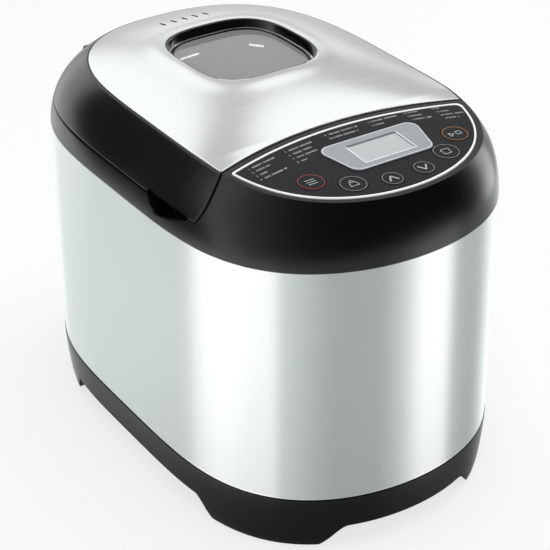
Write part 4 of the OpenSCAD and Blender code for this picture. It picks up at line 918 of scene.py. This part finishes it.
def programme_marks():
    """Programme list: plain numbers and rows of small bars, along the panel's upper edge."""
    bar = scratch("bar", *solid_rings([np.column_stack([rounded_rect(0.75, 1.7, 0.15, 2), np.full(12, z)])
                                       for z in (-0.02, 0.02)], closed=False))
    # Left end of each list's first row, its slope, its first number and the lengths of its rows
    lists = [(-76.0, -98.0, 0.19, 1, (23, 15, 11, 22)), (-45.4, -92.0, 0.11, 5, (24, 19, 21, 9)),
             (-12.3, -87.6, 0.0, 9, (26, 24)), (20.8, -87.6, -0.08, 11, (22, 10)),
             (47.6, -89.4, -0.22, 13, (11, 12, 14)), (67.0, -93.6, -0.28, 16, (6, 10, 17, 11))]
    pitch, row_gap, indent = 1.15, 4.7, 3.4
    made = []
    for index, (x, y, slope, first, lengths) in enumerate(lists):
        places = []
        for row, length in enumerate(lengths):
            low = y - row_gap * row
            for k in range(int((length - indent) / pitch)):
                along = indent + k * pitch
                if (k + row) % 9 != 7:
                    places.append((along, low - y + slope * along, 0.0))
            digits = number(str(first + row), 2.5)
            made.append(laid(digits, x - 0.4, low - 0.9, math.atan(slope), FILM_TOP + 0.03))
        copies = repeated("programme_bars", places, bar, WHITE_INK, (0.55, 0.75, 1), (1, 1, 1),
                          seed=11 + index)
        made.append(laid(copies, x, y, 0.0, FILM_TOP + 0.03))
    for x, lengths in ((-24.0, (9, 12, 9, 7)), (31.0, (10, 11, 12, 11))):
        places = [(k * 1.1, -3.6 * row, 0.0) for row,
                  count in enumerate(lengths) for k in range(count) if (k + row) % 7 != 6]
        copies = repeated("display_bars", places, bar, SHADE_INK, (0.5, 0.5, 1), (0.8, 0.7, 1),
                          seed=31 + int(x))
        made.append(laid(copies, x, LCD_Y + 6.0, 0.0, FILM_TOP + 0.82))
    drop(bar)
    for one in made:
        dark = len(one.data.materials) and one.data.materials[0] == SHADE_INK
        join_name = "display_marks" if dark else "programme_marks"
        marks.setdefault(join_name, []).append(one)
    for name, parts in marks.items():
        bm = bmesh.new()
        for one in parts:
            bm.from_mesh(one.data)
        mesh = bpy.data.meshes.new(name)
        bm.to_mesh(mesh)
        bm.free()
        drop(*parts)
        dark = name == "display_marks"
        settle(name, mesh, SHADE_INK if dark else WHITE_INK, "housing")


marks = {}
key_pieces()
panel_pieces()
programme_marks()


# ---------------------------------------------------------------- lid
def window_ring(n, d, z, angles=None):
    a = np.linspace(0, 2 * np.pi, n, endpoint=False) if angles is None else angles
    r = ((np.abs(np.cos(a)) / (WINDOW_A + d)) ** WINDOW_POWER
         + (np.abs(np.sin(a)) / (WINDOW_B + d)) ** WINDOW_POWER) ** (-1 / WINDOW_POWER)
    return np.column_stack([r * np.cos(a), WINDOW_Y + r * np.sin(a), np.full(len(a), z)])


def dome(x, y):
    side = (np.abs(x) / TOP_A) ** 2.4 + (np.maximum(0, y - TOP_MID_Y) / TOP_REAR) ** 3.6
    lead = np.maximum(0, y - front_y(x, 1)) / CROWN_REACH
    return CROWN_H * (1 - np.minimum(1, side) ** 0.83) * (1 - (1 - np.minimum(1, lead)) ** 2)


GLASS_Z = SEAM_Z + float(dome(np.array(WINDOW_A), np.array(WINDOW_Y))) - RECESS_H


def window_reach(x, y):
    """How far out a point lies from the window's middle, 1 on the window's outline."""
    across, along = np.abs(x) / WINDOW_A, np.abs(y - WINDOW_Y) / WINDOW_B
    return (across ** WINDOW_POWER + along ** WINDOW_POWER) ** (1 / WINDOW_POWER)


def cover_z(x, y):
    """Height of the cover: the dome and a low swelling that runs round the window at an even distance."""
    return top_z(y) + dome(x, y) + SWELL_H * np.exp(-((window_reach(x, y) - 1.1) / 0.15) ** 2)


SCOOP_REAR, SCOOP_FRONT, SCOOP_H, SCOOP_DEPTH = -37.0, -82.0, 6.5, 2.2


def lid_scoops():
    """Shallow arched pockets in the lid's lower edge, over the finger notches of the frame."""
    tools = []
    c = cross_angle(LID_U, 0.0)
    for first, last in ((math.pi, math.pi + c), (-c, 0.0)):
        t = even_angles(first, last, 500)
        edge = surf(t, LID_U)[:, 1]
        t = t[(edge < SCOOP_REAR) & (edge > SCOOP_FRONT)]
        share = (SCOOP_REAR - surf(t, LID_U)[:, 1]) / (SCOOP_REAR - SCOOP_FRONT)
        top = LID_U + (0.2 + SCOOP_H * np.sin(np.pi * share ** 0.8) ** 0.75) / SIDE_H
        high = np.array([surf(t[i:i + 1], top[i])[0] for i in range(len(t))])
        low = surf(t, LID_U - 2.0 / SIDE_H)
        rows = [moved(low, -4.0), moved(high, -4.0), moved(high, SCOOP_DEPTH), moved(low, SCOOP_DEPTH)]
        n = len(t)
        faces = strip_faces(4, n, closed_rows=True, closed_columns=False)
        faces += [(0, n, 2 * n, 3 * n), (n - 1, 4 * n - 1, 3 * n - 1, 2 * n - 1)]
        tools.append(scratch("scoop", np.concatenate(rows), faces))
    return tools


def lid_shell():
    rings = [part_ring("lid", LID_U, d=3.0)]
    for d, rise in [(0.7, 0.0), (0.35, 0.07), (0.1, 0.3)]:
        rings.append(part_ring("lid", LID_U + rise / SIDE_H, d=d))
    for u in np.linspace(LID_U + 0.7 / SIDE_H, 1 - 0.35 / SIDE_H, 34):
        rings.append(part_ring("lid", u))
    for d, dz in ((0.1, -0.05), (0.35, 0.0), (0.72, 0.0), (0.8, -0.1), (0.8, -1.3), (7.0, -1.3), (7.0, -4.3)):
        rings.append(part_ring("lid", 1.0, d=d, dz=dz))
    rings.append(part_ring("lid", 0.76, d=4.0))
    rings.append(part_ring("lid", 0.55, d=3.0))
    made = scratch("lid_shell_raw", *solid_rings(rings))
    barrel_gap = 7.0
    a = np.linspace(0, 2 * np.pi, 48, endpoint=False)
    half = 46.5
    side = [np.column_stack([np.full(48, x), HINGE_Y + barrel_gap * np.cos(a),
                             HINGE_Z + barrel_gap * np.sin(a)])
            for x in (-half, half)]
    rod = scratch("rod", *solid_rings(side, closed=False))
    block = box_tool((-half, HINGE_Y - barrel_gap + 1, PART_Z - 1), (half, HINGE_Y + 24, PART_Z + 12))
    cut(made, [rod, block, *lid_scoops()])
    return finish_piece(made, "lid_moulding", BLACK_ABS, "lid", ("lid_shell",), angle=32)


# The fold that is painted near-black starts this far out, as a share of the window's size
FOLD_REACH = 1.0222


def lid_cover():
    """Drawn steel cover: from the seam over the dome to the fold round the window."""
    edge = part_ring("lid", 1.0, d=1.1, r=1.6)
    angles = np.arctan2(edge[:, 1] - WINDOW_Y, edge[:, 0])

    def ring(v, grow=0.0, dz=0.0, flat_z=None):
        w = window_ring(0, grow, 0.0, angles)
        x = w[:, 0] + (edge[:, 0] - w[:, 0]) * v
        y = w[:, 1] + (edge[:, 1] - w[:, 1]) * v
        z = cover_z(x, y) + dz if flat_z is None else np.full(len(x), flat_z)
        return np.column_stack([x, y, z])

    width = np.linalg.norm(edge[:, :2] - window_ring(0, 0, 0, angles)[:, :2], axis=1).mean()
    rings = [ring(1, dz=-COVER_T), ring(1, dz=-0.55), ring(1 - 0.1 / width, dz=-0.22),
             ring(1 - 0.32 / width, dz=-0.05)]
    steps = 1 - 0.7 / width - (1 - 0.7 / width - 0.03) * np.linspace(0, 1, 46)
    rings += [ring(v) for v in steps]
    rings += [ring(0.02, dz=-0.02), ring(0.01, dz=-0.08), ring(0, -0.1, -0.35), ring(0, -0.35, -0.7),
              ring(0, -0.6, -1.3)]
    rings += [ring(0, -1.3, flat_z=GLASS_Z + 1.75), ring(0, -1.45, flat_z=GLASS_Z + 1.6),
              ring(0, -2.4, flat_z=GLASS_Z + 1.55)]
    rings += [ring(0, -2.5, flat_z=GLASS_Z + 1.4), ring(0, -2.5, flat_z=GLASS_Z),
              ring(0, -0.8, flat_z=GLASS_Z)]
    rings += [ring(v, dz=-COVER_T) for v in np.linspace(0.02, 0.99, 14)]
    made = scratch("lid_cover_raw", *solid_rings(rings))
    slot = prism(rounded_rect(VENT_W, VENT_LEN, VENT_W / 2 - 0.05), -20, 20, "vent")
    row = repeated("vent_row", [((i - 2) * VENT_PITCH, VENT_Y, SEAM_Z + 8) for i in range(5)], slot,
                   COVER_STEEL)
    drop(slot)
    cut(made, [row])
    piece = finish_piece(made, "lid_cover_sheet", COVER_STEEL, "lid", ("lid_cover",), angle=40)
    # Faces of the fold inside the recess get the near-black finish: painted shade and painted dark reflection on
    # the steel
    piece.data.materials.append(FOLD_PAINTED_DARK)
    for face in piece.data.polygons:
        x, y, z = (v / MM for v in face.center)
        rim = float(cover_z(np.array(x), np.array(y)))
        if window_reach(x, y) < FOLD_REACH and GLASS_Z + 1.62 < z < rim + SWELL_H:
            face.material_index = 1
    return piece


def window_pieces():
    """Glass and the black bezel round it."""
    def band(d, z):
        return window_ring(240, d, z)

    top = GLASS_Z + 1.5
    section = [(-BEZEL_IN, top - 3.5), (-BEZEL_IN, top - 0.2), (-BEZEL_IN - 0.15, top),
               (-BEZEL_IN - 0.8, top),
               (-BEZEL_IN - 0.95, top - 0.15), (-BEZEL_IN - 1.0, top - 2.0), (-BEZEL_IN - 4.5, top - 2.0),
               (-BEZEL_IN - 4.5, LINER_Z + 3.0), (-4.0, LINER_Z + 3.0), (-4.0, top - 3.5)]
    mesh_piece("window_gasket_ring", *solid_rings([band(d, z) for d, z in section]), BEZEL_PLASTIC, "lid",
               "bezel_plastic",
               ("window_bezel",), angle=40)
    inner = -BEZEL_IN - 1.3
    pane = [band(inner, top - 1.95), band(inner, top - 0.75), band(inner - 0.3, top - 0.4)]
    mesh_piece("window_pane", *solid_rings(pane, closed=False), WINDOW_GLASS, "lid", "window_glass",
               ("window_glass",), angle=20)


LINER_Z = PART_Z - 9.0
lid_shell()
lid_cover()
window_pieces()


# ---------------------------------------------------------------- finishes of the frame's own nodes
FINISH = {
    "bottom_plate": SHEET_STEEL, "case_screws": SCREW_STEEL, "rubber_feet": FOOT_RUBBER,
    "lid_liner": LINER_METAL,
    "inner_glass": CLEAR_GLASS, "lid_seal": SILICONE, "lid_hinge_leaf": HINGE_PLASTIC,
    "frame_hinge_bracket": HINGE_PLASTIC, "hinge_pin": SHAFT_STEEL, "cord_gland": FOOT_RUBBER,
    "chassis_plate": SHEET_STEEL, "oven_chamber": CHAMBER_METAL, "pan_socket": CAST_ALLOY,
    "heating_element": HEATER_SHEATH, "element_clips": CERAMIC, "temperature_sensor": SHAFT_STEEL,
    "thermal_fuse": CERAMIC, "bearing_housing": CAST_ALLOY, "shaft_bushes": BRONZE,
    "drive_shaft": SHAFT_STEEL,
    "drive_coupler": CAST_ALLOY, "large_pulley": PULLEY_PLASTIC, "drive_belt": BELT_RUBBER,
    "motor_pulley": SHAFT_STEEL, "motor_stator": LAMINATION, "motor_windings": COPPER,
    "motor_rotor": SHAFT_STEEL,
    "motor_brackets": CAST_ALLOY, "motor_grommets": FOOT_RUBBER, "motor_fan": PALE_PLASTIC,
    "run_capacitor": PALE_PLASTIC, "control_board": BOARD_GREEN, "display_module": PALE_PLASTIC,
    "key_switches": PALE_PLASTIC, "power_board": BOARD_GREEN, "baking_pan": NONSTICK,
    "pan_handle": SHAFT_STEEL,
    "pan_base": CAST_ALLOY, "pan_shaft": SHAFT_STEEL, "pan_coupling": CAST_ALLOY, "shaft_seal": SEAL_RUBBER,
    "kneading_paddle": NONSTICK,
}
for name, material in FINISH.items():
    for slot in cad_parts[name].material_slots:
        slot.material = material


# ---------------------------------------------------------------- floor, light and camera
# Cards that stand round the set: turn in degrees from +X towards +Y, brightness
CARDS = [(0, 0.62), (12, 0.9), (28, 1.3), (80, 1.2), (92, 0.92), (104, 0.98), (136, 1.08), (143, 1.7),
         (160, 2.0),
         (206, 2.0), (216, 1.34), (232, 1.09), (248, 0.86), (256, 0.78), (284, 0.78), (294, 1.04),
         (303, 1.46), (309, 2.0),
         (328, 1.85), (333, 0.84), (350, 0.66)]
CARD_TOP = 2.1
CARD_TINT = (0.945, 1.0, 0.99)
# Brightness above the cards by turn
SKY = [(-40, 0.03), (-30, 0.06), (-22, 0.25), (-14, 0.7), (-3, 2.5), (8, 2.5), (16, 0.7), (36, 0.62),
       (76, 0.66),
       (83, 1.28), (102, 1.35), (110, 1.35), (117, 0.05), (130, 0.06), (145, 0.22), (151, 0.5), (157, 1.2),
       (166, 1.1),
       (176, 0.85), (190, 0.55), (206, 0.3), (230, 0.12), (262, 0.04), (300, 0.03)]
SKY_TOP = 2.5
# Share of a full turn by which the sky's bands lean from the level up to the zenith
SKY_LEAN = 0.05
# Heights, as the z of a unit vector, between which floor and cards and then cards and sky change over
FLOOR_END, CARDS_END = (-0.68, -0.56), (-0.43, -0.35)
FLOOR_LIGHT = 0.12
# Softboxes: turn, height, the angles at which they fade out and are full, brightness
SOFTBOXES = [(37, 52, 14, 8, 1.42), (57, 14, 20, 6, 1.12), (128, 42, 14, 5, 2.2)]


def surround(tree):
    """What shiny surfaces see: a dark floor, upright cards over it, a sky that changes with the turn, softboxes."""
    way = node(tree, "ShaderNodeTexCoord").outputs["Generated"]
    part = node(tree, "ShaderNodeSeparateXYZ", {"Vector": way})
    turn = node(tree, "ShaderNodeMath", {0: part.outputs["Y"], 1: part.outputs["X"]},
                {"operation": "ARCTAN2"})
    share = node(tree, "ShaderNodeMapRange", {"Value": turn.outputs[0]}, From_Min=-math.pi, From_Max=math.pi)
    stops = []
    for angle, light in CARDS:
        tint = [c + (1 - c) * (light > 1.4) for c in CARD_TINT]
        stops.append((((angle + 180) % 360) / 360, tuple(c * light / CARD_TOP for c in tint) + (1.0,)))
    low = ramp(tree, share.outputs[0], sorted(stops))
    sky_stops = [(((angle + 180) % 360) / 360, light / SKY_TOP) for angle, light in SKY]
    lean = node(tree, "ShaderNodeMath", {0: part.outputs["Z"], 2: share.outputs[0]},
                {"operation": "MULTIPLY_ADD"})
    lean.inputs[1].default_value = SKY_LEAN
    lean = node(tree, "ShaderNodeMath", {0: lean.outputs[0]}, {"operation": "FRACT"})
    sky = ramp(tree, lean.outputs[0], sorted(sky_stops))
    sky = node(tree, "ShaderNodeMath", {0: sky}, {"operation": "MULTIPLY"})
    sky.inputs[1].default_value = SKY_TOP / CARD_TOP
    sky = sky.outputs[0]
    for angle, height, outer, inner, light in SOFTBOXES:
        a, h = math.radians(angle), math.radians(height)
        facing = node(tree, "ShaderNodeVectorMath", {0: way}, {"operation": "DOT_PRODUCT"})
        facing.inputs[1].default_value = (math.cos(h) * math.cos(a), math.cos(h) * math.sin(a), math.sin(h))
        box = node(tree, "ShaderNodeMapRange", {"Value": facing.outputs["Value"]},
                   {"interpolation_type": "SMOOTHSTEP"},
                   From_Min=math.cos(math.radians(outer)), From_Max=math.cos(math.radians(inner)),
                   To_Max=light / CARD_TOP)
        sky = node(tree, "ShaderNodeMath", {0: sky, 1: box.outputs[0]}, {"operation": "MAXIMUM"}).outputs[0]
    rise = node(tree, "ShaderNodeMapRange", {"Value": part.outputs["Z"]},
                {"interpolation_type": "SMOOTHSTEP"},
                From_Min=CARDS_END[0], From_Max=CARDS_END[1])
    under = node(tree, "ShaderNodeMapRange", {"Value": part.outputs["Z"]},
                 {"interpolation_type": "SMOOTHSTEP"},
                 From_Min=FLOOR_END[0], From_Max=FLOOR_END[1])
    near_floor = node(tree, "ShaderNodeMix", {"Factor": under.outputs[0]}, {"data_type": "RGBA"})
    near_floor.inputs[6].default_value = (FLOOR_LIGHT, FLOOR_LIGHT, FLOOR_LIGHT, 1)
    tree.links.new(low, near_floor.inputs[7])
    mix = node(tree, "ShaderNodeMix", {"Factor": rise.outputs[0]}, {"data_type": "RGBA"})
    tree.links.new(near_floor.outputs[2], mix.inputs[6])
    tree.links.new(sky, mix.inputs[7])
    return node(tree, "ShaderNodeBackground", {"Color": mix.outputs[2]}, Strength=CARD_TOP)


def studio():
    floor_mesh = bpy.data.meshes.new("studio_floor")
    bm = bmesh.new()
    bmesh.ops.create_grid(bm, x_segments=1, y_segments=1, size=6.0)
    bm.to_mesh(floor_mesh)
    bm.free()
    floor = bpy.data.objects.new("studio_floor", floor_mesh)
    bpy.context.scene.collection.objects.link(floor)
    floor.visible_glossy = False
    material, tree, _ = start("pale_studio_floor")
    plain = node(tree, "ShaderNodeBsdfDiffuse")
    plain.inputs["Color"].default_value = linear("#f4f5f5")
    glow = node(tree, "ShaderNodeEmission", Strength=1.0)
    glow.inputs["Color"].default_value = (1, 1, 1, 1)
    rays = node(tree, "ShaderNodeLightPath")
    seen = node(tree, "ShaderNodeMath", {0: rays.outputs["Is Camera Ray"]}, {"operation": "MULTIPLY"})
    seen.inputs[1].default_value = 0.72
    mix = node(tree, "ShaderNodeMixShader", {0: seen.outputs[0], 1: plain.outputs[0], 2: glow.outputs[0]})
    node(tree, "ShaderNodeOutputMaterial", {"Surface": mix.outputs[0]})
    floor_mesh.materials.append(material)

    world = bpy.data.worlds.new("studio")
    bpy.context.scene.world = world
    world.use_nodes = True
    tree = world.node_tree
    tree.nodes.clear()
    rays = node(tree, "ShaderNodeLightPath")
    soft = node(tree, "ShaderNodeBackground", Strength=0.6)
    soft.inputs["Color"].default_value = linear("#f4f6f8")
    white = node(tree, "ShaderNodeBackground", Strength=1.0)
    white.inputs["Color"].default_value = (1, 1, 1, 1)
    shiny = surround(tree)
    clear = node(tree, "ShaderNodeMath", {0: rays.outputs["Is Camera Ray"],
                                          1: rays.outputs["Is Transmission Ray"]},
                 {"operation": "MAXIMUM"})
    mix = node(tree, "ShaderNodeMixShader", {0: rays.outputs["Is Glossy Ray"], 1: soft.outputs[0],
                                             2: shiny.outputs[0]})
    mix = node(tree, "ShaderNodeMixShader", {0: clear.outputs[0], 1: mix.outputs[0], 2: white.outputs[0]})
    node(tree, "ShaderNodeOutputWorld", {"Surface": mix.outputs[0]})


def lamp(name, place, target, size, power, size_y=None, seen=False):
    data = bpy.data.lights.new(name, "AREA")
    data.shape = "RECTANGLE"
    data.size, data.size_y = size, size_y or size
    data.energy = power
    made = bpy.data.objects.new(name, data)
    bpy.context.scene.collection.objects.link(made)
    made.location = place
    made.rotation_euler = (Vector(target) - Vector(place)).to_track_quat("-Z", "Y").to_euler()
    made.visible_glossy = seen
    return made


CAMERA_FOCAL = 1779.335
CAMERA_SHIFT = (0.01785, -0.08924)
CAMERA_PLACE = (-0.5890538, -0.9030401, 0.7540166)
CAMERA_TURN = ((0.8354829, -0.5494669, -0.0073757), (0.2742325, 0.4052732, 0.8720953),
               (-0.4761983, -0.7306434, 0.4892805))


def camera():
    data = bpy.data.cameras.new("camera")
    data.sensor_width = 36.0
    data.lens = CAMERA_FOCAL / 550 * 36.0
    data.shift_x, data.shift_y = CAMERA_SHIFT
    data.clip_start, data.clip_end = 0.05, 50
    made = bpy.data.objects.new("camera", data)
    bpy.context.scene.collection.objects.link(made)
    turn = Matrix(CAMERA_TURN).transposed()
    made.matrix_world = Matrix.Translation(CAMERA_PLACE) @ turn.to_4x4()
    bpy.context.scene.camera = made


def streak(name, first, last, width, light):
    """Thin lamp whose mirror image in the window glass runs between two places of the view, in pixels."""
    right, up, back = (Vector(v) for v in CAMERA_TURN)
    eye = Vector(CAMERA_PLACE)
    ends = []
    for px, py in (first, last):
        x = (px - 275 + CAMERA_SHIFT[0] * 550) / CAMERA_FOCAL
        y = (275 - py + CAMERA_SHIFT[1] * 550) / CAMERA_FOCAL
        ray = (right * x + up * y - back).normalized()
        hit = eye + ray * (((GLASS_Z + 1.1) * MM - eye.z) / ray.z)
        ends.append(hit + Vector((ray.x, ray.y, -ray.z)) * 1.5)
    middle = (ends[0] + ends[1]) / 2
    along = (ends[1] - ends[0]).normalized()
    facing = (middle - Vector((0, WINDOW_Y * MM, GLASS_Z * MM))).normalized()
    side = facing.cross(along).normalized()
    data = bpy.data.lights.new(name, "AREA")
    data.shape, data.size, data.size_y = "RECTANGLE", (ends[1] - ends[0]).length, width * MM
    data.energy = light * data.size * data.size_y * math.pi
    made = bpy.data.objects.new(name, data)
    bpy.context.scene.collection.objects.link(made)
    turn = Matrix((along, side, along.cross(side))).transposed()
    made.matrix_world = Matrix.Translation(middle) @ turn.to_4x4()


studio()
lamp("overhead_softbox", (0.1, 0.1, 1.9), (0, 0, 0.15), 1.6, 14)
lamp("front_left_softbox", (-1.3, -1.6, 1.3), (0, 0, 0.15), 1.0, 12)
lamp("right_softbox", (1.7, -0.4, 1.2), (0, 0, 0.15), 1.0, 8)
camera()
streak("left_streak", (180, 59.5), (199, 53.5), 2.0, 6)
streak("rear_streak", (249, 44.4), (264, 46.4), 2.0, 6)
scene = bpy.context.scene
scene.view_settings.view_transform = "Standard"
